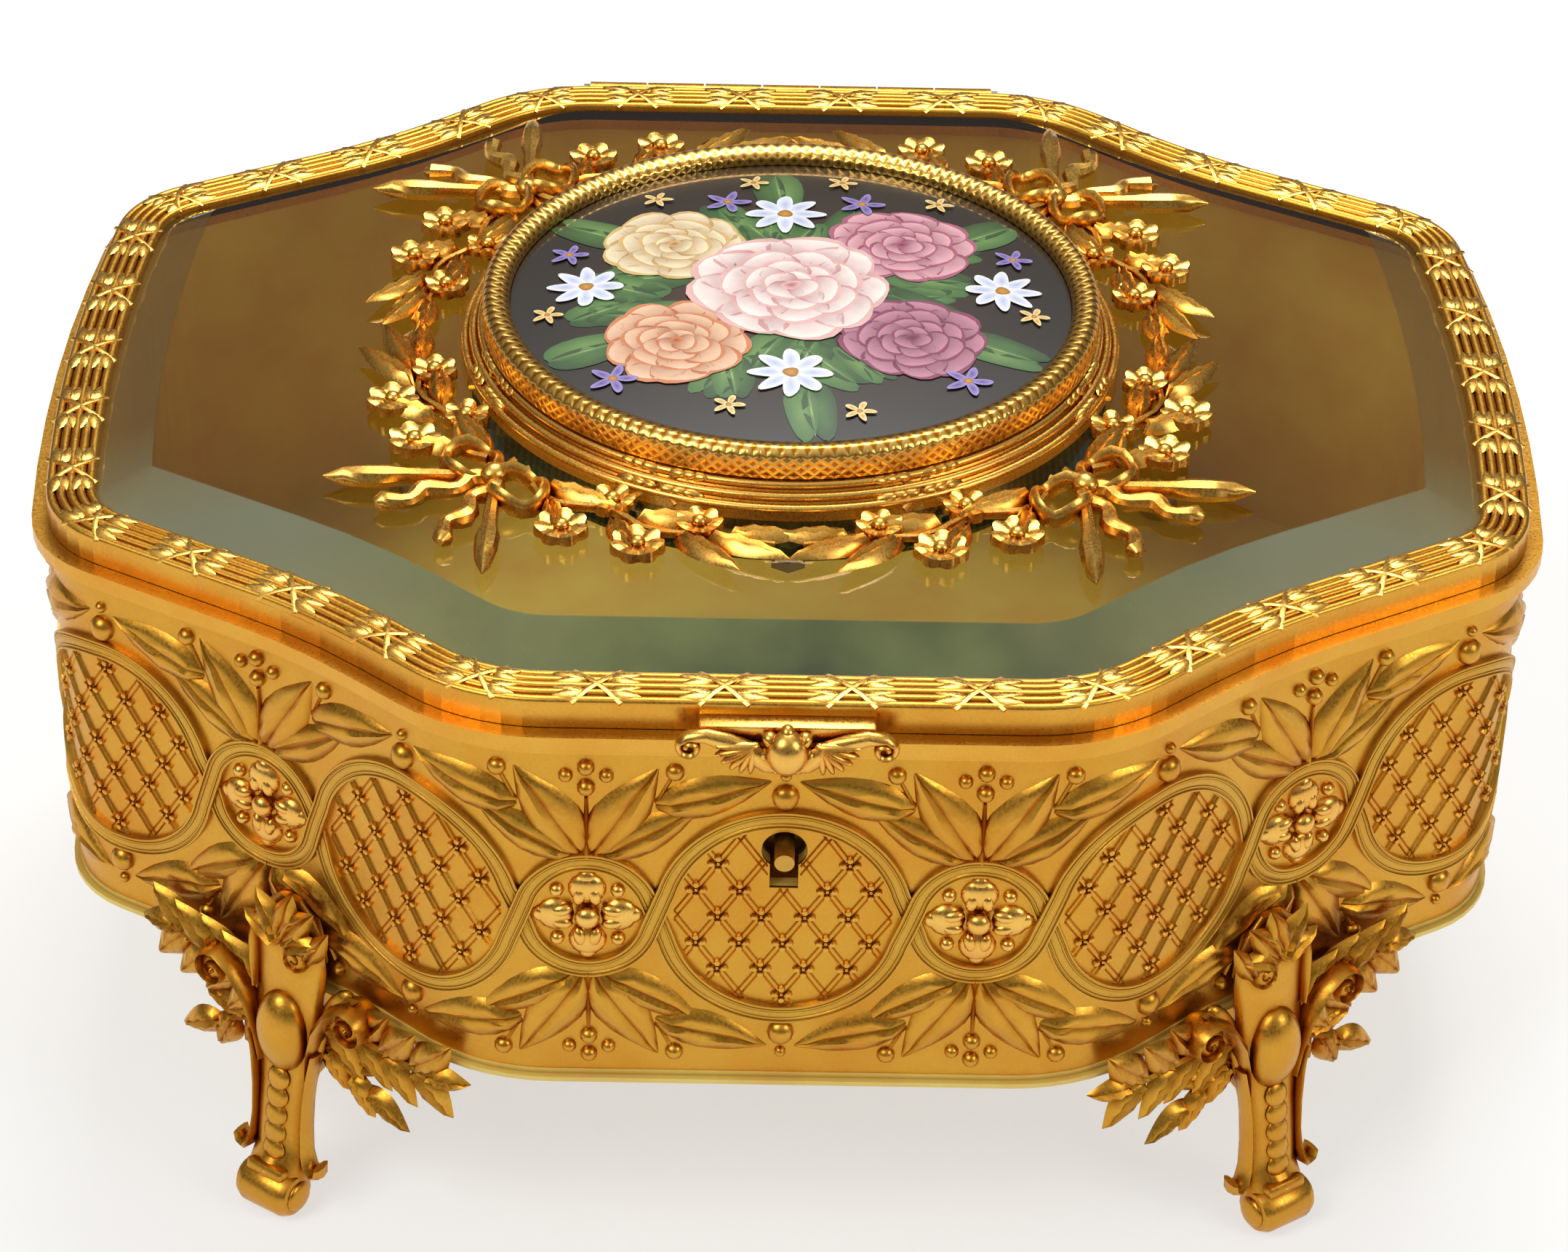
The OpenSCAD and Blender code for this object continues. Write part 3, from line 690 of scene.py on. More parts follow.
@dataclass(frozen=True)
class CutGlass:
    """Clear plate glass whose ground bevel carries a painted reflection: green clouds at the front,
    standing for light reflected inside the glass from its side, and olive at the back.

    Attributes:
        name: the material's name.
        clear: tint of the flat middle.
        green: pale part of the painted reflection's green clouds in the bevel, at the front.
        deep: dark part of them.
        olive: painted colour of the bevel at the back.
        pale: painted colour of the bevel at the front corners.
    """

    name: str = "bevelled_crystal"
    clear: str = "F4F3E6"
    green: str = "7F925C"
    deep: str = "4C5F33"
    olive: str = "C2B27C"
    pale: str = "A9B595"

    def build(self) -> bpy.types.Material:
        """Builds the material."""
        material, tree, where = start(self.name)
        parts = add(tree, "ShaderNodeSeparateXYZ", {"Vector": where}).outputs
        # The bevel is what lies between the top and the bottom face
        below = spread(tree, parts["Z"], GLASS_TOP - 0.02 * MM, GLASS_TOP - 0.12 * MM)
        above = spread(tree, parts["Z"], GLASS_BASE + 0.05 * MM, GLASS_BASE + 0.15 * MM)
        slope = maths(tree, "MULTIPLY", below, above)
        # Painted reflection: green clouds on the bevel, strongest at the front and paler at its corners,
        # stand for light reflected inside the glass
        sea = ramp(tree, noise(tree, where, 45.0, 4.0), [(0.35, self.deep), (0.62, self.green)])
        aside = spread(tree, maths(tree, "ABSOLUTE", parts["X"]), 25 * MM, 70 * MM)
        painted_front_share = spread(tree, parts["Y"], -25 * MM, -48 * MM)
        tint = blend(tree, painted_front_share, linear(self.olive), blend(tree, aside, sea, linear(self.pale)))
        through = add(tree, "ShaderNodeBsdfTransparent", {"Color": linear(self.clear)}).outputs[0]
        stained = add(tree, "ShaderNodeBsdfTransparent", {"Color": tint}).outputs[0]
        mass = add(
            tree, "ShaderNodeBsdfPrincipled", {"Base Color": tint, "Roughness": 0.12, "IOR": 1.52}
        ).outputs["BSDF"]
        share = spread(tree, painted_front_share, 0.0, 1.0, 0.12, 0.32)
        body = mixed(tree, slope, through, mixed(tree, share, stained, mass))
        sheen = add(tree, "ShaderNodeBsdfGlossy", {"Roughness": 0.03, "Color": WHITE}).outputs[0]
        facing = add(tree, "ShaderNodeFresnel", {"IOR": 1.5}).outputs[0]
        # The back of a face would mirror everything, so it only lets light out
        back = add(tree, "ShaderNodeNewGeometry").outputs["Backfacing"]
        gloss = maths(tree, "MULTIPLY", facing, maths(tree, "SUBTRACT", 1.0, back))
        end(tree, mixed(tree, gloss, body, sheen))
        return material


@dataclass(frozen=True)
class PaintedPorcelain:
    """Hard porcelain with enamel colours under a clear, bright glaze."""

    name: str = "painted_porcelain"

    def build(self) -> bpy.types.Material:
        """Builds the material."""
        material, tree, where = start(self.name)
        paint = add(tree, "ShaderNodeAttribute", attribute_name="paint").outputs["Color"]
        stroke = ramp(tree, noise(tree, where, 380.0, 5.0), [(0.3, "DCDCDC"), (0.7, "FFFFFF")])
        colour = blend(tree, 0.5, paint, stroke, "MULTIPLY")
        glaze = {"Coat Weight": 1.0, "Coat Roughness": 0.06}
        end_solid(tree, {"Base Color": colour, "Roughness": 0.32, **glaze})
        return material


@dataclass(frozen=True)
class PlainMetal:
    """Turned or filed metal of one colour with fine random scratches."""

    name: str
    colour: str
    roughness: float

    def build(self) -> bpy.types.Material:
        """Builds the material."""
        material, tree, where = start(self.name)
        rub = noise(tree, where, 900.0, 6.0)
        rough = spread(tree, rub, 0.3, 0.7, self.roughness - 0.08, self.roughness + 0.12)
        normal = bumped(tree, rub, 0.4, 0.02 * MM)
        colour = linear(self.colour)
        end_solid(tree, {"Base Color": colour, "Metallic": 1.0, "Roughness": rough, "Normal": normal})
        return material


@dataclass(frozen=True)
class Silk:
    """Green ribbed silk glued to card. The ribs are about 1 mm apart."""

    name: str = "green_silk"
    dark: str = "123B2A"
    light: str = "2C6B4A"

    def build(self) -> bpy.types.Material:
        """Builds the material."""
        material, tree, where = start(self.name)
        inputs = {"Vector": where, "Scale": 320.0, "Distortion": 1.2, "Detail": 2.0}
        rib = add(tree, "ShaderNodeTexWave", inputs, bands_direction="X").outputs["Fac"]
        colour = ramp(tree, rib, [(0.2, self.dark), (0.8, self.light)])
        end_solid(tree, {"Base Color": colour, "Roughness": 0.6, "Sheen Weight": 0.4})
        return material


def made(finish: GiltBronze | Knurled | CutGlass | PaintedPorcelain | PlainMetal | Silk) -> Field:
    """A field that builds this finish when the finishes are made."""
    return field(default_factory=finish.build)


@dataclass
class Finishes:
    """All the finishes of the casket, built once."""

    relief: bpy.types.Material = made(GiltBronze("fire_gilt_relief"))
    ribbon: bpy.types.Material = made(
        GiltBronze("fire_gilt_ribbon", crest_light="D2A848", face="BF9535", roughness=0.42, grain=0.03 * MM)
    )
    lattice: bpy.types.Material = made(
        GiltBronze("fire_gilt_chased", crest_light="E0B04C", face="C8902C", recess_shade="A2600E", reach=0.6 * MM)
    )
    plain: bpy.types.Material = made(
        GiltBronze("fire_gilt_plain", crest_light="DEAC48", roughness=0.32, reach=1.2 * MM, grain=0.012 * MM)
    )
    bright: bpy.types.Material = made(
        GiltBronze(
            "fire_gilt_burnished", crest_light="F0C365", face="E2A644", roughness=0.28, reach=1.4 * MM,
            grain=0.006 * MM, bump=0.35,
        )
    )
    inner: bpy.types.Material = made(
        GiltBronze(
            "fire_gilt_inside", crest_light="EFD77A", face="E4C868", recess_shade="B48E3A", roughness=0.5,
            reach=12 * MM, metal=0.4,
        )
    )
    floor: bpy.types.Material = made(
        GiltBronze(
            "fire_gilt_floor", crest_light="E6D47C", face="DAC468", recess_shade="B09040", roughness=0.5,
            reach=8 * MM, metal=0.25,
        )
    )
    knurled: bpy.types.Material = made(Knurled())
    glass: bpy.types.Material = made(CutGlass())
    porcelain: bpy.types.Material = made(PaintedPorcelain())
    steel: bpy.types.Material = made(PlainMetal("filed_steel", "B9B8B2", 0.38))
    brass: bpy.types.Material = made(PlainMetal("brushed_lock_brass", "C79A45", 0.35))
    silk: bpy.types.Material = made(Silk())


# Flat units for the wall


def add_strip(
    bm: bmesh.types.BMesh, route: Sequence[Vector], profile: Sequence[tuple[float, float]]
) -> None:
    """Adds a strip of constant section along a flat route, open at both ends.

    Args:
        bm: the mesh that it goes into.
        route: its middle line in millimetres. The z of a point lifts the section there.
        profile: closed section, as distance to the left of the line and height.
    """
    last, count = len(route) - 1, len(profile)
    grid = bmesh.ops.create_grid(bm, x_segments=last, y_segments=count, size=1)
    for v in grid["verts"]:
        i = round((v.co.x + 1) / 2 * last)
        side, up = profile[round((v.co.y + 1) / 2 * count) % count]
        ahead = route[min(i + 1, last)] - route[max(i - 1, 0)]
        if i in (0, last):
            ahead = Vector((1, 0, 0))
        left = Vector((-ahead.y, ahead.x, 0)).normalized()
        v.co = (route[i] + left * side + Vector((0, 0, up))) * MM
    bmesh.ops.remove_doubles(bm, verts=grid["verts"], dist=0.001 * MM)


def add_moulding(bm: bmesh.types.BMesh, profile: Sequence[tuple[float, float]]) -> None:
    """Sweeps a closed section round the whole plan line.

    Args:
        bm: the mesh that it goes into.
        profile: the section, as distance outside the wall line and height, in metres.
    """
    count = len(profile)
    grid = bmesh.ops.create_grid(bm, x_segments=STATIONS, y_segments=count, size=1)
    for v in grid["verts"]:
        out, up = profile[round((v.co.y + 1) / 2 * count) % count]
        x, y = PLAN.at((v.co.x + 1) * 2 * PLAN.quarter, out)
        v.co = Vector((x, y, up))
    bmesh.ops.remove_doubles(bm, verts=grid["verts"], dist=0.001 * MM)


def close(bm: bmesh.types.BMesh) -> None:
    """Fills every open edge loop."""
    bmesh.ops.holes_fill(bm, edges=[e for e in bm.edges if e.is_boundary], sides=0)


@dataclass
class Frieze:
    """The relief on the wall: interlaced ovals and roundels, lattices, rosettes, leaves and berries.

    Attributes:
        finishes: the finishes.
        oval: half width and half height of the large ovals inside the ribbon, in millimetres.
        roundel: the same of the roundels.
        ribbon: width of the ribbon.
        ground: height of the plain ground above the wall line.
        key_high: height of the keyhole's round above the middle of the frieze.
        key_r: its radius.
        key_half: half the width of its slot.
        key_drop: how far the slot reaches down.
        key_depth: length of the tool that cuts it, from front to back.
        lattice: half the width and half the height of a lattice diamond.
        lattice_edge: how far inside the oval the lattice ends.
    """

    finishes: Finishes
    oval: tuple[float, float] = (15.4, 15.9)
    roundel: tuple[float, float] = (7.5, 8.0)
    ribbon: float = 2.9
    ground: float = 0.5
    key_high: float = 11.7
    key_r: float = 3.2
    key_half: float = 2.0
    key_drop: float = 6.6
    key_depth: float = 8.0
    lattice: tuple[float, float] = (3.05, 4.65)
    lattice_edge: float = 0.2

    def centres(self, odd: bool) -> list[Placer]:
        """Places of the ovals, or of the roundels if odd is set."""
        return [PLAN.bend((2 * i + odd) * STEP, FRIEZE_MID) for i in range(OVALS)]

    def make_ground(self) -> None:
        """Makes the plain ground of the frieze, with its keyhole."""
        bm = bmesh.new()
        low, high = BASE_TOP, FRIEZE_TOP
        out = self.ground * MM
        add_moulding(bm, [(0.01 * MM, low), (out, low), (out, high), (0.01 * MM, high)])
        ground = make_piece("frieze_ground", bm, Body.BOX, self.finishes.relief, ["wall_frieze"])
        cutter = bmesh.new()
        high = FRIEZE_MID / MM + self.key_high
        front = -PLAN.depth / MM
        stand = moved(0, front, high) @ turned(90, "X")
        bmesh.ops.create_cone(
            cutter, cap_ends=True, segments=48, radius1=self.key_r * MM, radius2=self.key_r * MM,
            depth=self.key_depth * MM, matrix=stand,
        )
        cut_away(ground, cutter)
        cutter = bmesh.new()
        drop = self.key_drop
        slot = moved(0, front, high - drop / 2) @ scaled(2 * self.key_half, self.key_depth, drop)
        bmesh.ops.create_cube(cutter, size=MM, matrix=slot)
        cut_away(ground, cutter)

    def section(self) -> list[tuple[float, float]]:
        """Section of the ribbon: a flat band with fine flutes and a raised edge on both sides."""
        half = self.ribbon / 2
        low, top = self.ground - 0.6, self.ground + 0.75
        rising = [
            (0.0, -0.1), (0.08, 0.14), (0.34, 0.16), (0.44, -0.08), (0.6, -0.08), (0.68, 0.04),
            (0.86, 0.04), (0.94, -0.08), (1.06, -0.02),
        ]
        side = [(half - x, top + z) for x, z in rising]
        flat = [(0.0, top)]
        other = [(-x, z) for x, z in reversed(side)]
        return [(half, low), *side, *flat, *other, (-half, low)]

    def wave(self, rising: bool) -> list[Vector]:
        """Middle line of one of the two ribbons, from one oval to the next.

        Args:
            rising: whether it rises to the first roundel, and so passes over the other one there.

        Returns:
            Its points, with a z that lifts the ribbon where it passes over.
        """
        half = self.ribbon / 2
        pitch = STEP / MM
        wide, high = self.oval[0] + half, self.oval[1] + half
        small_w, small_h = self.roundel[0] + half, self.roundel[1] + half
        points = [
            Vector((wide * math.cos(a), high * math.sin(a), 0))
            for a in (math.radians(90 - 75 * i / 18) for i in range(19))
        ]
        points.append(Vector((pitch - small_w - 0.85, 0.9, 0)))
        points += [
            Vector((pitch + small_w * math.cos(a), small_h * math.sin(a), 0))
            for a in (math.radians(196 + 74 * i / 12) for i in range(13))
        ]
        back = [Vector((2 * pitch - p.x, p.y, 0)) for p in reversed(points[:-1])]
        way = -1 if rising else 1
        route = []
        for i, p in enumerate([*points, *back]):
            over = rising if i < len(points) else not rising
            near = math.exp(-(p.y / 3.2) ** 2)
            route.append(Vector((p.x, way * p.y, (0.16 if over else -0.5) * near)))
        return route

    def make_ribbon(self) -> None:
        """Makes the two interlaced ribbons."""
        bm = bmesh.new()
        unit = bmesh.new()
        for rising in (True, False):
            add_strip(unit, self.wave(rising), self.section())
        copies(bm, unit, self.centres(False))
        make_piece("guilloche_ribbon", bm, Body.BOX, self.finishes.ribbon)

    def add_ridge(self, bm: bmesh.types.BMesh, mid: Vector, d: Vector, keyed: bool) -> None:
        """Adds one ridge of the lattice, cut to the oval.

        Args:
            bm: the mesh that it goes into.
            mid: a point of its line, in millimetres.
            d: its direction.
            keyed: whether it is cut round the keyhole too.
        """
        rx, ry = self.oval[0] - self.lattice_edge, self.oval[1] - self.lattice_edge
        # Chord of the oval along this line
        a = (d.x / rx) ** 2 + (d.y / ry) ** 2
        b = mid.x * d.x / rx**2 + mid.y * d.y / ry**2
        c = (mid.x / rx) ** 2 + (mid.y / ry) ** 2 - 1
        root = b * b - a * c
        if root <= 0.0002:
            return
        first, last = (-b - math.sqrt(root)) / a, (-b + math.sqrt(root)) / a
        for lo, hi in self.round_keyhole(mid, d, first, last) if keyed else [(first, last)]:
            if hi - lo < 1:
                continue
            count = max(2, round((hi - lo) / 4))
            route = [mid + d * (lo + (hi - lo) * i / count) for i in range(count + 1)]
            for p in route:
                p.z = self.ground - 0.02
            add_sweep(bm, route, 0.36, 0.66, UP, 4)

    def add_lattice(self, bm: bmesh.types.BMesh, keyed: bool) -> None:
        """Adds the double lattice of one oval, with a small flower on each crossing.

        Args:
            bm: the mesh that it goes into.
            keyed: whether it leaves the keyhole free.
        """
        dx, dy = self.lattice
        slope = Vector((dx, dy, 0)).normalized()
        for way in (1, -1):
            d = Vector((slope.x * way, slope.y, 0))
            n = Vector((-d.y, d.x, 0))
            gap = abs(Vector((2 * dx, 0, 0)).dot(n))
            for k in range(-6, 7):
                for side in (-0.4, 0.4):
                    self.add_ridge(bm, n * ((k + 0.5) * gap + side), d, keyed)
        rx, ry = self.oval[0] - self.lattice_edge - 1, self.oval[1] - self.lattice_edge - 1
        for i in range(-5, 6):
            for j in range(-4, 5):
                x, y = 2 * dx * i + (0 if j % 2 else dx), dy * j
                if (x / rx) ** 2 + (y / ry) ** 2 > 1 or (keyed and self.in_keyhole(x, y, 1.4)):
                    continue
                add_ball(bm, moved(x, y, self.ground + 0.1) @ scaled(0.36, 0.36, 0.5), 4, 6)
                for a in QUARTER_TURNS:
                    spot = turned(a) @ Vector((0.98, 0, 0))
                    petal = moved(x + spot.x, y + spot.y, self.ground)
                    add_ball(bm, petal @ turned(a) @ scaled(0.66, 0.58, 0.72), 4, 7)

    def make_lattice(self) -> None:
        """Makes the lattices of all ovals. The first oval holds the keyhole."""
        bm = bmesh.new()
        places = self.centres(False)
        for keyed, spots in ((False, places[1:]), (True, places[:1])):
            unit = bmesh.new()
            self.add_lattice(unit, keyed)
            copies(bm, unit, spots)
        make_piece("oval_lattices", bm, Body.BOX, self.finishes.lattice)

    def in_keyhole(self, x: float, y: float, room: float) -> bool:
        """Tells whether a spot in the front oval lies in the keyhole."""
        high = self.key_high
        in_round = math.hypot(x, y - high) < self.key_r + room
        in_slot = abs(x) < self.key_half + room and high - self.key_drop - room < y < high
        return in_round or in_slot

    def round_keyhole(
        self, mid: Vector, d: Vector, first: float, last: float
    ) -> list[tuple[float, float]]:
        """Cuts a lattice line where it meets the keyhole.

        Args:
            mid: a point of the line.
            d: its direction.
            first: where it starts.
            last: where it ends.

        Returns:
            Starts and ends of what is left.
        """
        runs: list[tuple[float, float]] = []
        begin: float | None = None
        count = 120
        for i in range(count + 1):
            t = first + (last - first) * i / count
            p = mid + d * t
            free = not self.in_keyhole(p.x, p.y, 0.25)
            if free and begin is None:
                begin = t
            if begin is not None and (not free or i == count):
                runs.append((begin, t))
                begin = None
        return runs

    def make_rosettes(self) -> None:
        """Makes the rosettes of four petals in the roundels."""
        unit = bmesh.new()
        g = self.ground
        add_ball(unit, moved(0, 0, g + 0.9) @ scaled(1.8, 1.8, 1.4), 8, 14)
        for a in QUARTER_TURNS:
            add_ball(unit, turned(a) @ moved(0, 4.5, g) @ scaled(2.75, 2.7, 1.3), 8, 14)
            add_ball(unit, turned(a) @ moved(0, 6.1, g) @ scaled(1.5, 1.75, 0.95), 8, 12)
            for side in (1, -1):
                lobe = turned(a) @ moved(side * 1.05, 3.6, g + 0.6) @ turned(side * 12)
                add_ball(unit, lobe @ scaled(1.0, 1.7, 0.95), 6, 10)
            add_ball(unit, turned(a + 45) @ moved(0, 6.05, g) @ scaled(1.1, 1.1, 1.15), 6, 10)
        close(unit)
        bm = bmesh.new()
        copies(bm, unit, self.centres(True))
        make_piece("rosettes", bm, Body.BOX, self.finishes.bright)

    def make_leaves(self) -> None:
        """Makes the leaves and berries above and below the roundels."""
        unit = bmesh.new()
        root = self.roundel[1] + self.ribbon - 0.6
        g = self.ground - 0.1
        for way in (1, -1):
            stand = Matrix() if way > 0 else scaled(1, -1, 1)
            for side in (1, -1):
                hand = stand @ scaled(side, 1, 1)
                add_leaf(unit, hand @ moved(0.6, root, g) @ turned(-29), 18.0, 7.8, 1.7, 0.8)
                add_leaf(unit, hand @ moved(1.4, root, g) @ turned(-64), 17.5, 6.2, 1.5, -1.8)
                add_leaf(unit, hand @ moved(9.3, root + 8.8, g) @ turned(-79), 17.0, 7.0, 1.5, -1.4)
                add_ball(unit, hand @ moved(12.2, root + 14.6, g) @ scaled(1.4, 1.4, 1.3))
                add_ball(unit, hand @ moved(2.8, root + 13.8, g) @ scaled(1.1, 1.1, 1.2))
                stalk = [Vector((10.0 + i * 0.9, root + 10 + i * 1.9, g)) for i in range(3)]
                stalk = [(hand @ p.to_4d()).to_3d() for p in stalk]
                add_sweep(unit, stalk, 0.6, 1.0, UP, 6)
            add_ball(unit, stand @ moved(0, root + 15.2, g) @ scaled(1.3, 1.3, 1.4))
            add_ball(unit, stand @ moved(0, root + 11.8, g) @ scaled(1.35, 1.35, 1.5))
            stem = [Vector((0, way * (root + i * 3.4), g)) for i in range(4)]
            add_sweep(unit, stem, [1.3, 1.0, 0.8, 0.6], [2.2, 1.9, 1.6, 1.4], UP, 6)
        close(unit)
        bm = bmesh.new()
        copies(bm, unit, self.centres(True))
        berry = bmesh.new()
        for way in (1, -1):
            high = way * (self.oval[1] + self.ribbon + 2.2)
            add_ball(berry, moved(0, high, g) @ scaled(2.0, 2.1, 1.7), 8, 12)
            add_ball(berry, moved(0, high + way * 3.6, g) @ scaled(0.9, 0.9, 1.0))
        copies(bm, berry, self.centres(False))
        make_piece("laurel_leaves", bm, Body.BOX, self.finishes.relief)

    def build(self) -> None:
        """Makes the whole frieze."""
        self.make_ground()
        self.make_ribbon()
        self.make_lattice()
        self.make_rosettes()
        self.make_leaves()


# Feet


@dataclass
class Feet:
    """The four cast feet. A foot is made in millimetres: x along the wall, -y outwards and z up.

    Attributes:
        finishes: the finishes.
        place: how many steps of the frieze it stands from the middle of the front.
        ground: how far its back lies outside the wall line.
        out: the way that it faces.
    """

    finishes: Finishes
    place: float = 2.8
    ground: float = 1.7
    out: Vector = field(default_factory=lambda: Vector((0, -1, 0)))

    def route(self, rows: Sequence[tuple[float, float, float]], side: int = 1) -> list[Vector]:
        """Turns rows of x, distance outside the foot's back and height to points on one side."""
        return [Vector((side * x, -(self.ground + off), z)) for x, off, z in rows]

    def add_body(self, bm: bmesh.types.BMesh) -> None:
        """Adds the shaft, the cartouche with its boss, and the toe."""
        rows = [
            (0.0, 3.6, 6.4, 4.6), (2.5, 4.8, 8.4, 3.4), (7.0, 4.8, 8.0, 3.4), (9.5, 4.8, 5.2, 3.4),
            (15.0, 4.7, 4.8, 3.0), (21.0, 4.9, 4.4, 2.2), (25.0, 5.6, 4.6, 1.2), (31.0, 6.8, 4.8, 0.4),
            (37.0, 6.0, 4.6, 0.0), (43.0, 6.6, 4.0, 0.0), (48.0, 6.4, 3.6, 0.0), (51.5, 4.6, 2.6, 0.0),
            (54.0, 2.0, 1.6, 0.2),
        ]
        route = [Vector((0, -(self.ground + off + th / 2), z)) for z, _, th, off in rows]
        add_sweep(bm, route, [2 * w for _, w, _, _ in rows], [th for _, _, th, _ in rows], self.out, 20)
        front = self.ground + 4.4
        add_ball(bm, moved(0, -front, 31) @ scaled(4.5, 3.6, 7.4), 16, 26)
        # The toe is a roll with soft ends
        roll = [Vector((x, -self.ground - 9.2, 3.9)) for x in (-5.0, -4.6, -3.4, 3.4, 4.6, 5.0)]
        size = [3.8, 6.4, 7.7, 7.7, 6.4, 3.8]
        add_sweep(bm, roll, size, size, UP, 20)
        for side in (1, -1):
            add_ball(bm, moved(side * 4.9, -self.ground - 9.2, 3.9) @ scaled(0.9, 2.5, 2.5), 8, 16)
        # A saddle with soft edges lies over the roll
        saddle = moved(0, -self.ground - 9.0, 7.3) @ turned(-16, "X")
        add_block(bm, saddle @ scaled(7.0, 4.6, 2.2), 0.7)
        # The tenon that goes into the wall
        bmesh.ops.create_cube(bm, size=MM, matrix=moved(0, 4.5, 35.55) @ scaled(8, 17, 3.4))

    def add_trim(self, bm: bmesh.types.BMesh) -> None:
        """Adds the scales on the shaft, the ribs with their hooks, the wings, volutes and flame."""
        g = self.ground
        for i in range(5):
            z = 10.6 + 3.1 * i
            depth = g + 8.7 - 0.175 * (z - 9.5)
            add_ball(bm, moved(0, -depth, z) @ turned(-14, "X") @ scaled(2.0, 0.8, 2.1), 8, 16)
        for side in (1, -1):
            x = Vector((side, 0, 0))
            rib = self.route((
                (5.9, 4.3, 29), (5.2, 4.8, 25), (4.7, 5.4, 20), (4.6, 6.0, 15), (4.9, 6.6, 11),
                (5.6, 7.0, 8.8), (6.5, 7.0, 7.9), (7.4, 7.0, 8.4), (7.7, 7.0, 9.7),
            ), side)
            add_sweep(bm, rib, [0.8, 0.9, 0.9, 1.0, 1.3, 1.9, 2.2, 2.0, 1.1], 3.4, self.out, 8)
            wing = self.route((
                (4.4, 3.0, 24), (5.0, 3.2, 29), (6.4, 3.4, 34), (8.8, 3.4, 38.2), (11.8, 3.3, 40.4),
            ), side)
            curl = spiral(Vector((side * 12.6, -(g + 3.3), 37.2)), 100, 3.2, -1.5, 0.2, x, UP)
            route = wing + curl[1:]
            count = len(curl) - 1
            widths = [1.4, 1.6, 1.7, 1.5, 1.2] + [1.0 - 0.4 * i / count for i in range(count)]
            add_sweep(bm, route, widths, 5.6, self.out, 8)
            # The eye of the volute lies on a solid disc
            add_ball(bm, moved(side * 12.6, -(g + 3.6), 37.2) @ scaled(0.8, 2.6, 0.8))
            add_ball(bm, moved(side * 12.6, -(g + 3.0), 37.2) @ scaled(3.3, 2.6, 3.3), 12, 20)
            # The fluted blade between the wing and the cartouche
            for lean, wide in ((28, 2.2), (42, 2.0), (55, 1.6)):
                blade = moved(side * 6.4, -(g + 1.9), 33) @ turned(side * lean, "Y")
                add_ball(bm, blade @ moved(0, 0, 4) @ scaled(wide, 1.6, 5.6), 8, 14)
        # A small flat scroll lies on the field under the flame, with a leaf that curls from it
        eye = Vector((-2.4, -(g + 3.7), 45.2))
        small = spiral(eye, 150, 2.3, 1.5, 0.12, Vector((1, 0, 0)), UP)
        add_sweep(bm, small, 0.7, 2.2, self.out, 6)
        add_ball(bm, moved(*eye) @ scaled(2.4, 0.8, 2.4), 8, 16)
        curl = moved(-4.4, -(g + 3.2), 45.0) @ turned(-24, "Y") @ turned(90, "X")
        add_leaf(bm, curl, 8.0, 3.4, 1.5, -0.8, across=3, along=6)
        ridge = self.route(((5.0, 2.6, 50.5), (5.6, 2.9, 46), (5.5, 3.4, 42), (5.4, 3.8, 37)))
        add_sweep(bm, ridge, [0.8, 1.5, 1.5, 0.8], [2.4, 3.0, 3.0, 2.0], self.out, 8)
        # Flame of leaves in two layers
        for high, leans, reach in ((46.6, (-62, -26, 20, 56), 8.0), (48.0, (-34, -6, 26), 8.6)):
            for lean in leans:
                at = moved(0, -(g + 3.2), high) @ turned(lean, "Y") @ turned(90, "X")
                add_leaf(bm, at, reach, 4.8, 2.0, 1.2 if lean > 0 else -1.2, across=3, along=6)

    def add_sprays(self, bm: bmesh.types.BMesh) -> None:
        """Adds the laurel sprays, which lie just off the wall on both sides of the foot."""
        unit = bmesh.new()
        for side, reach, rise in ((-1, 32.0, 1.0), (1, 27.0, 6.0)):
            stalk = [
                Vector((side * (4 + (reach - 9) * i / 4), 34 + rise * i / 4, 3.4)) for i in range(5)
            ]
            add_sweep(unit, stalk, 1.5, 1.6, UP, 6)
            for i in range(1, 5):
                for lean in (-1, 1):
                    spot = moved(stalk[i].x - side * 3.0, stalk[i].y, 2.5 + 0.5 * (i % 2))
                    at = spot @ turned(-side * (90 - lean * 40)) @ turned(4, "X")
                    add_leaf(unit, at, 10.8 - 0.4 * i, 5.6, 1.8, -side * lean * 1.0, across=3, along=8)
            end = moved(stalk[4].x - side, stalk[4].y, 2.8) @ turned(-side * 90)
            add_leaf(unit, end, 7.0, 4.6, 1.7, 0.5, across=3, along=8)
            # The lower twig hangs free below the body
            twig = [
                Vector((side * (3.4 + 2.7 * i), 29.5 - 0.3 * i - 0.22 * i * i, 3.3)) for i in range(5)
            ]
            add_sweep(unit, twig, [1.6, 1.5, 1.4, 1.2, 1.0], 1.8, UP, 6)
            leaves = ((0, 44, 10.5), (1, 30, 9.5), (2, 34, 8.5), (1, -38, 8), (3, -32, 8), (4, 6, 9))
            for i, lean, length in leaves:
                spot = moved(twig[i].x, twig[i].y, 2.6 + 0.3 * (i % 2))
                turn = -side * (104 + 4 * i - lean)
                add_leaf(unit, spot @ turned(turn), length, 4.9, 1.8, side * 0.6, across=3, along=8)
        close(unit)
        copies(bm, unit, [PLAN.bend(self.place * STEP, 0.0)])

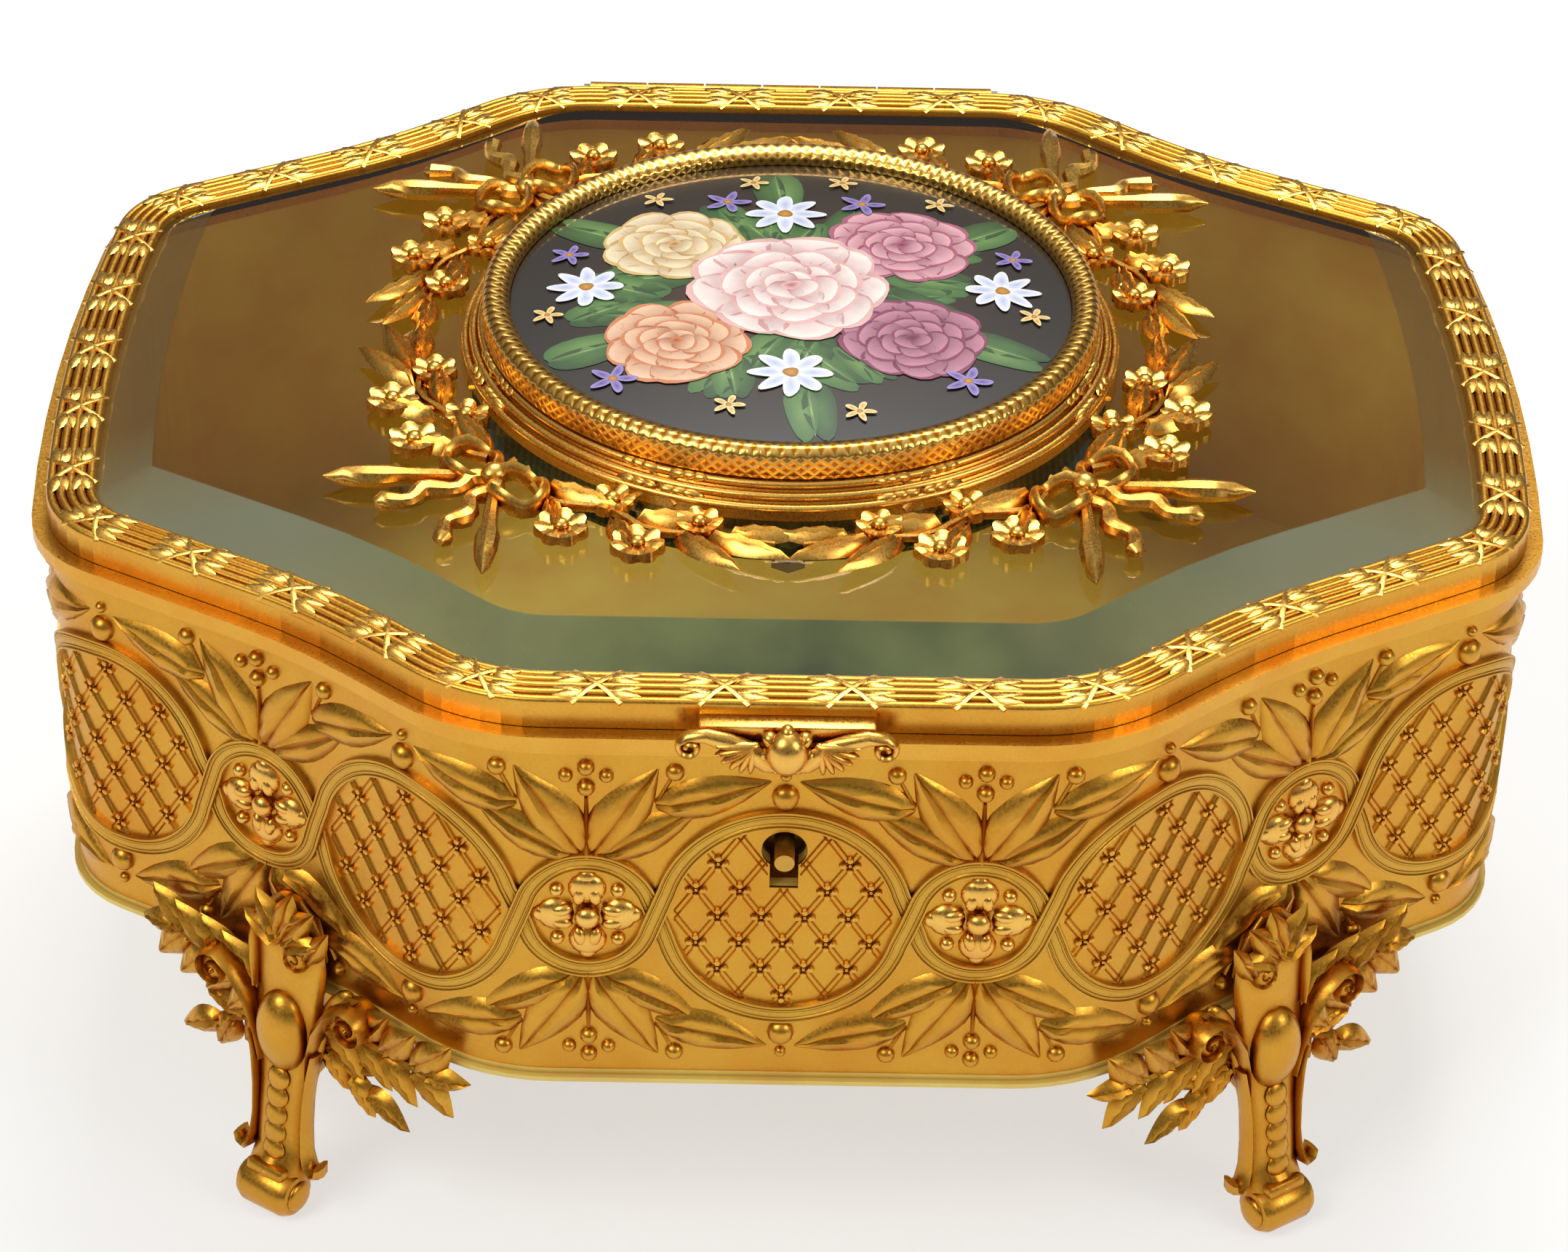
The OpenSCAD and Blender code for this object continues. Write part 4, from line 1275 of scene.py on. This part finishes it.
    def build(self) -> None:
        """Makes the four feet as mirror images of each other."""
        x, y, heading = PLAN.walk(self.place * STEP)
        stand = Matrix.Translation((x, y, 0)) @ Matrix.Rotation(heading, 4, "Z")
        for name, sx, sy in (
            ("front_left", -1, 1), ("front_right", 1, 1), ("back_left", -1, -1), ("back_right", 1, -1),
        ):
            bm = bmesh.new()
            self.add_body(bm)
            self.add_trim(bm)
            close(bm)
            bmesh.ops.transform(bm, matrix=stand, verts=bm.verts)
            self.add_sprays(bm)
            bmesh.ops.transform(bm, matrix=scaled(sx, sy, 1), verts=bm.verts)
            # The sole is flat
            for v in bm.verts:
                v.co.z = max(v.co.z, 0.0)
            finish = self.finishes.relief
            make_piece(f"scroll_foot_{name}", bm, Body.BOX, finish, [f"foot_{name}"])


# Lid


@dataclass
class Lid:
    """The rim moulding, thumb-piece, medallion and wreath. Sizes are in millimetres.

    Attributes:
        finishes: the finishes.
        reeds: reeds of the rim moulding.
        rim_width: its width.
        rim_inset: how far outside the wall line it starts.
        rim_ties: crossed ties round it.
        ring_r: outer radius of the medallion's ring.
        ring_ties: crossed ties round it.
        bezel_r: outer radius of the bezel.
        plaque_r: radius of the part of the plaque that shows.
        wreath_r: radius of the wreath's stems.
    """

    finishes: Finishes
    reeds: int = 5
    rim_width: float = 7.1
    rim_inset: float = 0.6
    rim_ties: int = 38
    ring_r: float = 50.0
    ring_ties: int = 8
    bezel_r: float = 46.7
    plaque_r: float = 42.5
    wreath_r: float = 57.0

    def make_rim(self) -> None:
        """Makes the reeded moulding with its crossed ties."""
        bm = bmesh.new()
        inset = self.rim_inset
        pitch = self.rim_width / self.reeds
        base = BAND_TOP
        profile = [(inset * MM, base)]
        for i in range(self.reeds):
            lift = 0.55 + 0.35 * math.sin(math.pi * (i + 0.5) / self.reeds)
            for j in range(7):
                a = math.pi * j / 6
                x = pitch * (i + 0.5 - 0.5 * math.cos(a))
                profile.append(((inset - x) * MM, base + (lift + 0.6 * math.sin(a)) * MM))
        profile.append(((inset - self.rim_width) * MM, base))
        add_moulding(bm, profile)
        make_piece("reeded_rim", bm, Body.LID, self.finishes.plain, ["rim_moulding"])
        unit = bmesh.new()
        half = self.rim_width / 2
        for way in (1, -1):
            route = [
                Vector((way * 3.4 * t, half + (half + 0.15) * t, 0.55 + 0.9 * math.cos(t * 1.35)))
                for t in (-1, -0.75, -0.5, -0.25, 0, 0.25, 0.5, 0.75, 1)
            ]
            add_sweep(unit, route, 1.0, 0.55, UP, 6)
            for side in (-1, 1):
                for y in (half - 1.5, half + 1.5):
                    spot = moved(side * 1.6, y, 1.25) @ turned(-side * (90 - (y - half) * way * 9))
                    add_leaf(unit, spot, 4.6, 2.1, 0.5, across=2, along=4)
        close(unit)
        bm = bmesh.new()
        apart = 4 * PLAN.quarter / self.rim_ties
        places = [PLAN.lay((i + 0.5) * apart, -inset * MM, base) for i in range(self.rim_ties)]
        copies(bm, unit, places)
        make_piece("rim_ties", bm, Body.LID, self.finishes.bright)

    def make_thumb(self) -> None:
        """Makes the winged thumb-piece."""
        low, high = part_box("thumb_piece")
        mid_z = (low.z + high.z) / 2 / MM
        y = high.y / MM - 2.9
        bm = bmesh.new()
        for side in (1, -1):
            x = Vector((side, 0, 0))
            route = [
                Vector((side * px, y - o, mid_z + z))
                for px, o, z in (
                    (0.6, 1.0, -2.2), (2.6, 1.2, -1.9), (5.0, 1.0, -0.4), (8.0, 0.8, 1.0),
                    (11.0, 0.8, 2.0), (13.4, 0.8, 1.9),
                )
            ]
            eye = Vector((side * 13.2, y - 0.8, mid_z + 0.2))
            curl = spiral(eye, 80, 1.7, -1.2, 0.3, x, UP)
            points = route + curl[2:]
            widths = [3.4, 3.4, 3.2, 2.8, 2.2, 1.6] + [1.1] * (len(curl) - 2)
            add_sweep(bm, points, widths, 2.2, Vector((0, -1, 0)), 10)
            for i in range(6):
                fan = moved(side * 4.6, y - 1.3, mid_z + 0.9) @ turned(-side * (4 + 17 * i), "Y")
                add_ball(bm, fan @ moved(0, 0, -2.3) @ scaled(0.62, 1.0, 2.5 + 0.18 * i), 8, 10)
        add_ball(bm, moved(0, y - 1.7, mid_z) @ scaled(2.9, 2.6, 3.4), 10, 16)
        petals = 7
        for i in range(petals):
            spoke = moved(0, y - 1.1, mid_z) @ turned(i * 360 / petals, "Y")
            add_ball(bm, spoke @ moved(0, 0, 2.9) @ scaled(1.1, 1.3, 1.2), 6, 8)
        add_block(bm, moved(0, high.y / MM - 1.45, mid_z + 1.9) @ scaled(24, 2.9, 2.2), 0.4)
        make_piece("thumb_scrolls", bm, Body.LID, self.finishes.bright, ["thumb_piece"])

    def spin(self, profile: Sequence[tuple[float, float]], steps: int = 128) -> bmesh.types.BMesh:
        """Turns a section round the upright axis.

        Args:
            profile: radius and height of its points, in millimetres above the glass.
            steps: faces round it.

        Returns:
            The turned shape.
        """
        bm = bmesh.new()
        verts = [bm.verts.new(Vector((r * MM, 0, GLASS_TOP + z * MM))) for r, z in profile]
        edges = [bm.edges.new(pair) for pair in zip(verts, verts[1:] + verts[:1])]
        bmesh.ops.spin(
            bm, geom=verts + edges, cent=(0, 0, 0), axis=(0, 0, 1), angle=2 * math.pi, steps=steps,
            use_merge=True,
        )
        return bm

    def make_ring(self) -> None:
        """Makes the reeded ring with its crossed ties, and the bezel."""
        profile = [(self.plaque_r - 2, 0.02), (self.ring_r - 0.2, 0.02), (self.ring_r - 0.2, 1.0)]
        for i in range(3):
            for j in range(6):
                a = math.pi * j / 5 - 0.7
                r = self.ring_r - 0.72 - i * 1.3
                z = 1.75 + i * 1.2
                profile.append((r + 0.72 * math.cos(a), z + 0.72 * math.sin(a)))
        profile += [
            (self.bezel_r - 0.6, 5.1), (self.bezel_r - 3.0, 5.15), (self.bezel_r - 3.0, 3.75),
            (self.plaque_r - 2, 3.75),
        ]
        bm = self.spin(profile)
        make_piece("reeded_ring", bm, Body.LID, self.finishes.bright, ["medallion_ring"])
        ties = bmesh.new()
        for i in range(self.ring_ties):
            stand = turned((i + 0.5) * 360 / self.ring_ties)
            for way in (1, -1):
                route = []
                for t in (-1, -0.6, -0.2, 0.2, 0.6, 1):
                    a = math.radians(way * 3.6 * t)
                    r = self.ring_r - 1.6 - 1.9 * t
                    z = 2.75 + 1.75 * t
                    p = stand @ Vector((r * math.cos(a), r * math.sin(a), 0))
                    route.append(Vector((p.x, p.y, GLASS_TOP / MM + z)))
                slant = (stand @ Vector((1, 0, 1))).normalized()
                add_sweep(ties, route, 0.9, 0.7, slant, 6)
            for side in (-1, 1):
                for k in range(3):
                    a = side * (2.2 + 2.0 * k)
                    for row, r, z in ((0, self.ring_r - 1.0, 2.6), (1, self.ring_r - 2.9, 4.4)):
                        spot = stand @ turned(a) @ moved(r, 0, GLASS_TOP / MM + z)
                        lean = turned(45, "Y") @ turned(side * (14 if row else -14), "X")
                        add_ball(ties, spot @ lean @ scaled(0.75, 1.7, 0.45), 6, 8)
        make_piece("ring_ties", ties, Body.LID, self.finishes.bright)
        top = (BEZEL_TOP - GLASS_TOP) / MM
        bm = self.spin([
            (self.plaque_r + 1.6, 5.2), (self.bezel_r, 5.2), (self.bezel_r, top - 1.5),
            (self.bezel_r - 0.25, top - 0.8), (self.bezel_r - 1.0, top - 0.1), (self.bezel_r - 1.6, top),
            (self.plaque_r + 1.2, top - 0.3), (self.plaque_r + 0.4, top - 0.7), (self.plaque_r, top - 1.3),
            (self.plaque_r, top - 2.4), (self.plaque_r + 1.6, top - 2.4),
        ], 160)
        finish = self.finishes.knurled
        make_piece("knurled_bezel", bm, Body.LID, finish, ["medallion_bezel"])

    def add_flower(self, bm: bmesh.types.BMesh, at: Matrix, radius: float, petals: int) -> None:
        """Adds a thick cast flower.

        Args:
            bm: the mesh that it goes into.
            at: its place on the glass.
            radius: its radius in millimetres.
            petals: how many petals it has.
        """
        made = bmesh.ops.create_uvsphere(
            bm, u_segments=6 * petals, v_segments=14, radius=1.0, matrix=Matrix()
        )
        for v in made["verts"]:
            angle = math.atan2(v.co.y, v.co.x)
            lobe = abs(math.cos(petals * angle / 2))
            far = 1.0 if v.co.z < -0.05 and v.co.z > -0.5 else math.hypot(v.co.x, v.co.y)
            reach = radius * (0.74 + 0.26 * lobe**0.55) * far
            if v.co.z < -0.5:
                # The foot of the flower is narrower than its petals
                reach *= 0.6
                level = 0.0
            elif v.co.z < -0.05:
                level = 0.8
            elif v.co.z < 0.05:
                level = 1.5
            else:
                dip = 0.45 * math.exp(-(((far - 0.36) / 0.09) ** 2))
                level = 2.0 + 0.45 * lobe**0.4 * far - 0.55 * (1 - lobe**0.4) * far - dip
            v.co = at @ (Vector((reach * math.cos(angle), reach * math.sin(angle), level)) * MM)
        add_ball(bm, at @ moved(0, 0, 2.1) @ scaled(1.2, 1.2, 0.9), 8, 14)

    def add_branch(self, bm: bmesh.types.BMesh, side: int) -> None:
        """Adds one flowering branch.

        Args:
            bm: the mesh that it goes into, with the bow on +X.
            side: 1 or -1, the way that the branch grows round the ring.
        """
        level = GLASS_TOP / MM
        stem = []
        for i in range(15):
            a = math.radians(side * (5 + 38 * i / 14))
            r = self.wreath_r + 1.8 * math.sin(i * 1.0) * (1 - i / 20)
            stem.append(Vector((r * math.cos(a), r * math.sin(a), level + 1.2)))
        taper = [1.5 - 0.05 * i for i in range(15)]
        add_sweep(bm, stem, taper, [1.9 - 0.06 * i for i in range(15)], UP, 8)
        spots = ((14.5, 6.4, 4.0, 7), (25, 5.4, 4.0, 7), (17, -3.2, 3.5, 6), (31.5, -2.4, 3.5, 7))
        for a, off, radius, petals in spots:
            self.add_flower(bm, turned(side * a) @ moved(self.wreath_r + off, 0, level), radius, petals)
            height = level + 0.9
            stalk = [
                turned(side * (a - 3.5)) @ Vector((self.wreath_r, 0, height)),
                turned(side * a) @ Vector((self.wreath_r + off, 0, height)),
            ]
            add_sweep(bm, stalk, 0.9, 1.2, UP, 6)
        leaves = (
            (6, -1.0, -14, 13.0, 4.2), (9, 1.6, 36, 9.0, 3.6), (19, 1.0, 34, 9.5, 3.8),
            (22, -1.0, -20, 12.0, 4.0), (29, 1.2, 24, 13.0, 4.2), (33, 0.4, 10, 13.5, 4.2),
            (36, -0.6, -12, 11.0, 3.8),
        )
        for a, off, lean, length, width in leaves:
            at = turned(side * a) @ moved(self.wreath_r + off, 0, level + 0.6)
            at = at @ turned(0 if side > 0 else 180) @ turned(-side * lean)
            add_leaf(bm, at @ turned(5, "X"), length, width, 1.9, 1.0 * side, across=3, along=8)

    def add_bow(self, bm: bmesh.types.BMesh) -> None:
        """Adds the ribbon bow and the two crossed torches that it ties, on +X."""
        level = GLASS_TOP / MM
        at = self.wreath_r + 2.5
        for side in (1, -1):
            loop = []
            for i in range(21):
                a = math.pi * 2 * i / 20
                x = at - 3.4 * math.sin(a) * 1.1 + 0.4
                y = side * (4.9 - 4.4 * math.cos(a))
                z = level + 1.9 + 0.9 * math.sin(a * 3)
                loop.append(Vector((x, y, z)))
            add_sweep(bm, loop, 1.5, 3.4, UP, 8)
            tail = [
                Vector((at + 1 + i, side * (0.8 + 0.34 * i + 0.9 * math.sin(i * 0.9)), level + 1.6))
                for i in range(17)
            ]
            wide = [2.7 + 0.4 * math.sin(i * 0.9) for i in range(16)] + [1.2]
            add_sweep(bm, tail, wide, wide, UP, 8)
            # A torch: its shaft, its bowl and flame, and the end of its handle
            shaft = [
                Vector((at + 0.4 + 2.2 * i, side * (0.4 + 2.1 * i), level + 1.8)) for i in range(9)
            ]
            sizes = [1.7, 1.8, 2.0, 2.2, 2.4, 3.6, 3.4, 2.6, 0.3]
            add_sweep(bm, shaft, sizes, [min(3.4, 1.15 * w) for w in sizes], UP, 8)
            rod = [Vector((at - 1.6 * i, side * (-0.4 - 0.4 * i), level + 1.5)) for i in range(4)]
            add_sweep(bm, rod, 1.4, 1.8, UP, 6)
        add_ball(bm, moved(at + 0.4, 0, level + 2.6) @ scaled(2.2, 1.9, 1.6), 8, 12)

    def make_wreath(self) -> None:
        """Makes the four quarters of the wreath."""
        corners = (("front_left", -135), ("front_right", -45), ("back_left", 135), ("back_right", 45))
        for name, angle in corners:
            bm = bmesh.new()
            self.add_bow(bm)
            for side in (1, -1):
                self.add_branch(bm, side)
            close(bm)
            bmesh.ops.transform(bm, matrix=turned(angle), verts=bm.verts)
            for v in bm.verts:
                v.co.z = max(v.co.z, GLASS_TOP + 0.02 * MM)
            finish = self.finishes.bright
            make_piece(f"flower_wreath_{name}", bm, Body.LID, finish, [f"wreath_{name}"])

    def build(self) -> None:
        """Makes everything on the lid but the plaque."""
        self.make_rim()
        self.make_thumb()
        self.make_ring()
        self.make_wreath()


# Plaque


@dataclass
class Petal:
    """One brush mark: an oval of colour that fades from its middle to its edge.

    Attributes:
        x: its middle, in millimetres.
        y: its middle.
        length: its length.
        width: its width.
        turn: its direction in degrees.
        inner: sRGB hex colour of its middle.
        outer: sRGB hex colour of its edge.
        along: whether it fades along its length instead, from inner to outer.
    """

    x: float
    y: float
    length: float
    width: float
    turn: float
    inner: str
    outer: str
    along: bool = False


@dataclass
class Plaque:
    """The domed porcelain plaque with a painted spray of garden flowers.

    Attributes:
        finishes: the finishes.
        radius: its radius in millimetres.
        dome: how far its middle stands above its edge.
        marks: the brush marks, the lowest first.
        dice: the source of the small random differences between the marks.
    """

    finishes: Finishes
    radius: float = 42.4
    dome: float = 1.8
    marks: list[Petal] = field(default_factory=list)
    dice: random.Random = field(default_factory=lambda: random.Random(7))

    def height(self, x: float, y: float) -> float:
        """Height of the dome at a spot, in millimetres."""
        ball = (self.radius**2 + self.dome**2) / (2 * self.dome)
        rim = BEZEL_TOP / MM - 2.4
        return rim + self.dome - ball + math.sqrt(max(0.0, ball * ball - x * x - y * y))

    def rose(self, x: float, y: float, size: float, dark: str, mid: str, pale: str) -> None:
        """Adds the marks of an open rose.

        Args:
            x: its middle.
            y: its middle.
            size: its radius.
            dark: colour between the petals.
            mid: colour of the petals' bodies.
            pale: colour of their edges.
        """
        rings = ((9, 0.72, 0.62), (7, 0.5, 0.52), (6, 0.3, 0.42), (4, 0.14, 0.3))
        for ring, (count, reach, scale) in enumerate(rings):
            for i in range(count):
                a = math.radians(360 * i / count + 21 * ring + self.dice.uniform(-7, 7))
                px, py = x + size * reach * math.cos(a), y + size * reach * math.sin(a)
                wide = size * scale * self.dice.uniform(0.9, 1.1)
                turn = math.degrees(a)
                self.marks.append(Petal(px, py, wide * 1.12, wide * 1.34, turn, dark, mid, True))
                qx, qy = px - size * 0.02 * math.cos(a), py - size * 0.02 * math.sin(a)
                self.marks.append(Petal(qx, qy, wide, wide * 1.22, turn, dark, pale, True))
        self.marks.append(Petal(x, y, size * 0.22, size * 0.16, 30, dark, mid))

    def daisy(self, x: float, y: float, size: float, inner: str, outer: str, count: int = 8) -> None:
        """Adds the marks of a small open flower.

        Args:
            x: its middle.
            y: its middle.
            size: length of a petal.
            inner: colour of the petals' middles.
            outer: colour of their edges.
            count: how many petals it has.
        """
        for i in range(count):
            a = math.radians(360 * i / count)
            px, py = x + size * 0.55 * math.cos(a), y + size * 0.55 * math.sin(a)
            self.marks.append(Petal(px, py, size, size * 0.42, math.degrees(a), inner, outer))
        self.marks.append(Petal(x, y, size * 0.4, size * 0.4, 0, "D8A23A", "A8681C"))

    def leaf(self, x: float, y: float, length: float, turn: float) -> None:
        """Adds a leaf with a pale half, a dark half and a rib."""
        a = math.radians(turn)
        for off, inner, outer in ((0.14, "4C7238", "2A4A26"), (-0.14, "6F9450", "426B37")):
            ox, oy = -math.sin(a) * length * off, math.cos(a) * length * off
            self.marks.append(Petal(x + ox * 0.7, y + oy * 0.7, length, length * 0.36, turn, inner, outer))
        self.marks.append(Petal(x, y, length * 0.9, 0.35, turn, "A3BE78", "6F9553"))

    def compose(self) -> None:
        """Lays out the spray: leaves first, then roses, then the small flowers between them."""
        for i in range(34):
            a = math.radians(360 * i / 34 + self.dice.uniform(-8, 8))
            r = self.dice.uniform(17, 29)
            turn = math.degrees(a) + self.dice.uniform(-28, 28)
            self.leaf(r * math.cos(a), r * math.sin(a) * 0.92, self.dice.uniform(11, 16), turn)
        for x, y, turn in (
            (-30, 18, 150), (29, 19, 38), (31, -15, -24), (-30, -17, 205), (3, -33, -84), (-2, 32, 96),
        ):
            self.leaf(x, y, 14, turn)
        roses = (
            (17, 15, 11.0, "7A2A4A", "B5617F", "EBB3BC"), (-18, 14, 10.5, "A8743A", "E3BE7A", "FAEBC6"),
            (18, -13, 10.5, "5A1B3C", "8E3F62", "C98BA0"), (-17, -15, 10.5, "A04A22", "D9875A", "F5CDAA"),
            (0, 1, 14.5, "B46A74", "EFC0BA", "FFF4EC"),
        )
        for rose in roses:
            self.rose(*rose)
        for x, y, size in ((-1, 24, 6), (-31, 1, 5.6), (32, 2, 5.6), (0, -23.5, 6)):
            self.daisy(x, y, size, "B9C6E8", "F6F8FF")
        for x, y, size in (
            (-10, 28, 3.6), (11, 28, 3.6), (-26, -25, 3.6), (26, -24, 3.6), (34, 12, 3), (-34, 11, 3),
        ):
            self.daisy(x, y, size, "5B4896", "A393D2", 5)
        for x, y in (
            (-6, 35), (8, 35.5), (36.5, -5), (-36.5, -7), (-9, -32), (10, -33), (-21, 29), (23, 29),
        ):
            self.daisy(x, y, 2.4, "D99A2E", "FBE7A6", 5)

    def build(self) -> None:
        """Makes the plaque and its painting as one piece with a paint attribute."""
        self.compose()
        bm = bmesh.new()
        paint = bm.verts.layers.float_color.new("paint")
        disc = bmesh.ops.create_circle(bm, cap_ends=False, segments=96, radius=self.radius * MM)
        edges = list({e for v in disc["verts"] for e in v.link_edges})
        ground = [*disc["verts"]]
        rings = 12
        for k in range(1, rings):
            ext = bmesh.ops.extrude_edge_only(bm, edges=edges)["geom"]
            ring = [g for g in ext if isinstance(g, bmesh.types.BMVert)]
            edges = [g for g in ext if isinstance(g, bmesh.types.BMEdge)]
            for v in ring:
                v.co = v.co * ((rings - k) / (rings + 1 - k))
            ground += ring
        bmesh.ops.contextual_create(bm, geom=edges)
        low, high = Vector(linear("4A2E1C")), Vector(linear("1A120E"))
        for v in ground:
            x, y = v.co.x / MM, v.co.y / MM
            v.co.z = self.height(x, y) * MM
            r = math.hypot(x, y) / self.radius
            v[paint] = low.lerp(high, min(1.0, r * 1.15))
        rim = [e for e in bm.edges if e.is_boundary]
        skirt = bmesh.ops.extrude_edge_only(bm, edges=rim)["geom"]
        for v in (g for g in skirt if isinstance(g, bmesh.types.BMVert)):
            v.co.z -= 2.0 * MM
            v[paint] = linear("F2EBDD")
        close(bm)
        for rank, mark in enumerate(self.marks):
            inner, outer = Vector(linear(mark.inner)), Vector(linear(mark.outer))
            lift = 0.012 + 0.0007 * rank
            oval = bmesh.ops.create_circle(bm, cap_ends=True, cap_tris=True, segments=18, radius=1.0)
            for v in oval["verts"]:
                t = (v.co.x + 1) / 2 if mark.along else v.co.length
                wave = 1 + 0.08 * math.sin(3 * math.atan2(v.co.y, v.co.x) + rank)
                local = Vector((v.co.x * mark.length / 2 * wave, v.co.y * mark.width / 2 * wave, 0))
                p = turned(mark.turn) @ local
                x, y = mark.x + p.x, mark.y + p.y
                v.co = Vector((x, y, self.height(x, y) + lift)) * MM
                v[paint] = inner.lerp(outer, t)
        make_piece(
            "painted_plaque", bm, Body.LID, self.finishes.porcelain, ["porcelain_plaque"],
            merge=False,
        )


# Solids that stay


@dataclass
class KeptSolids:
    """CAD nodes whose shape is right and that only get a finish."""

    finishes: Finishes

    def build(self) -> None:
        """Gives each one its finish."""
        f = self.finishes
        groups = {
            f.inner: ("side_wall",),
            f.floor: ("base_plate",),
            f.plain: (
                "top_flange", "lid_frame", "hinge_body_leaf", "hinge_lid_leaf", "hinge_rivets",
                "glass_retainer",
            ),
            f.steel: (
                "foot_screws", "foot_nuts", "lock_screws", "lock_bolt", "hinge_pin", "medallion_studs",
                "medallion_nuts",
            ),
            f.brass: ("lock_case", "lock_cap", "lock_post", "lock_strike"),
            f.glass: ("lid_glass",),
            f.silk: ("backing_disc",),
        }
        for finish, names in groups.items():
            for name in names:
                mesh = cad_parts[name].data
                mesh.materials.clear()
                mesh.materials.append(finish)
                log.info("%s: %s", name, finish.name)


# Studio


@dataclass
class Studio:
    """Camera, lamps, floor and world.

    Attributes:
        focal_px: focal length in pixels of the photograph.
        image_width: width of the photograph in pixels.
        sensor: width of the camera's sensor in millimetres.
        pitch: how far the camera looks down.
        yaw: how far the box is turned.
        roll: how far the camera leans.
        offset: the middle of the rim as the camera sees it, in metres.
        rim_height: height of that middle.
    """

    focal_px: float = 5716.0
    image_width: float = 2156.0
    sensor: float = 36.0
    pitch: float = math.radians(34.71)
    yaw: float = math.radians(0.52)
    roll: float = math.radians(-1.29)
    offset: Vector = field(default_factory=lambda: Vector((0.00088, 0.04081, 0.63437)))
    rim_height: float = 104.5 * MM

    def make_camera(self) -> None:
        """Sets the camera at the photograph's angle."""
        tilt = Matrix((
            (1, 0, 0),
            (0, math.sin(self.pitch), math.cos(self.pitch)),
            (0, math.cos(self.pitch), -math.sin(self.pitch)),
        ))
        look = Matrix.Rotation(self.roll, 3, "Z") @ tilt @ Matrix.Rotation(self.yaw, 3, "Z")
        back = Matrix((look[0], look[1], -look[2])).transposed()
        data = bpy.data.cameras.new("studio_camera")
        data.sensor_width = self.sensor
        data.lens = self.sensor * self.focal_px / self.image_width
        data.clip_start = 0.01
        data.clip_end = 20.0
        camera = put("studio_camera", data)
        place = -(look.transposed() @ self.offset) + Vector((0, 0, self.rim_height))
        camera.matrix_world = Matrix.Translation(place) @ back.to_4x4()
        bpy.context.scene.camera = camera

    def add_lamp(self, name: str, at: tuple[float, float, float], size: float, power: float) -> None:
        """Adds a soft square lamp that faces the box.

        Args:
            name: its name.
            at: its place in metres.
            size: its side in metres.
            power: its power in watts.
        """
        data = bpy.data.lights.new(name, "AREA")
        data.size = size
        data.energy = power
        lamp = put(name, data)
        lamp.location = at
        lamp.rotation_mode = "QUATERNION"
        lamp.rotation_quaternion = (Vector((0, 0, 0.06)) - Vector(at)).to_track_quat("-Z", "Y")

    def make_floor(self) -> None:
        """Makes the pale floor."""
        bm = bmesh.new()
        bmesh.ops.create_grid(bm, x_segments=1, y_segments=1, size=6.0)
        mesh = bpy.data.meshes.new("studio_floor")
        bm.to_mesh(mesh)
        bm.free()
        material, tree, _ = start("pale_floor")
        shade = add(tree, "ShaderNodeBsdfDiffuse", {"Color": linear("F4F3F1")}).outputs[0]
        # The camera, metal and glass see it paler than it is, but it keeps a soft shadow
        white = add(tree, "ShaderNodeEmission", {"Color": WHITE, "Strength": 1.0}).outputs[0]
        path = add(tree, "ShaderNodeLightPath").outputs
        seen = maths(tree, "MAXIMUM", path["Is Camera Ray"], path["Is Glossy Ray"])
        seen = maths(tree, "MAXIMUM", seen, path["Is Transmission Ray"])
        paler = maths(tree, "MULTIPLY", seen, 0.6)
        end(tree, mixed(tree, paler, shade, white))
        mesh.materials.append(material)
        floor = put("studio_floor", mesh)

    def make_world(self) -> None:
        """Makes a soft room: pale above, greyer at the horizon, and white to the camera."""
        world = bpy.data.worlds.new("studio_world")
        bpy.context.scene.world = world
        world.use_nodes = True
        tree = world.node_tree
        tree.nodes.clear()
        where = add(tree, "ShaderNodeTexCoord").outputs["Generated"]
        height = add(tree, "ShaderNodeSeparateXYZ", {"Vector": where}).outputs["Z"]
        room = ramp(tree, height, [
            (0.0, "3C3833"), (0.22, "6F6A62"), (0.5, "A29E96"), (0.75, "C4C0B8"), (1.0, "FFFFFF"),
        ])
        light = add(tree, "ShaderNodeBackground", {"Color": room, "Strength": 0.7}).outputs[0]
        white = add(tree, "ShaderNodeBackground", {"Color": WHITE, "Strength": 1.0}).outputs[0]
        seen = add(tree, "ShaderNodeLightPath").outputs["Is Camera Ray"]
        add(tree, "ShaderNodeOutputWorld", {"Surface": mixed(tree, seen, light, white)})

    def build(self) -> None:
        """Makes the whole studio."""
        self.make_camera()
        self.make_floor()
        self.make_world()
        self.add_lamp("key_lamp", (-0.9, -0.8, 1.35), 0.8, 12.0)
        self.add_lamp("fill_lamp", (1.2, -0.7, 0.9), 0.6, 6.0)
        self.add_lamp("top_lamp", (0.1, 0.65, 1.35), 0.7, 14.0)
        bpy.context.scene.view_settings.view_transform = "Standard"


def main() -> None:
    """Builds the casket and its studio."""
    logging.basicConfig(level=logging.INFO, format="%(name)s %(message)s")
    Studio().build()
    finishes = Finishes()
    KeptSolids(finishes).build()
    Frieze(finishes).build()
    Feet(finishes).build()
    Lid(finishes).build()
    Plaque(finishes).build()


if __name__ == "__main__":
    main()
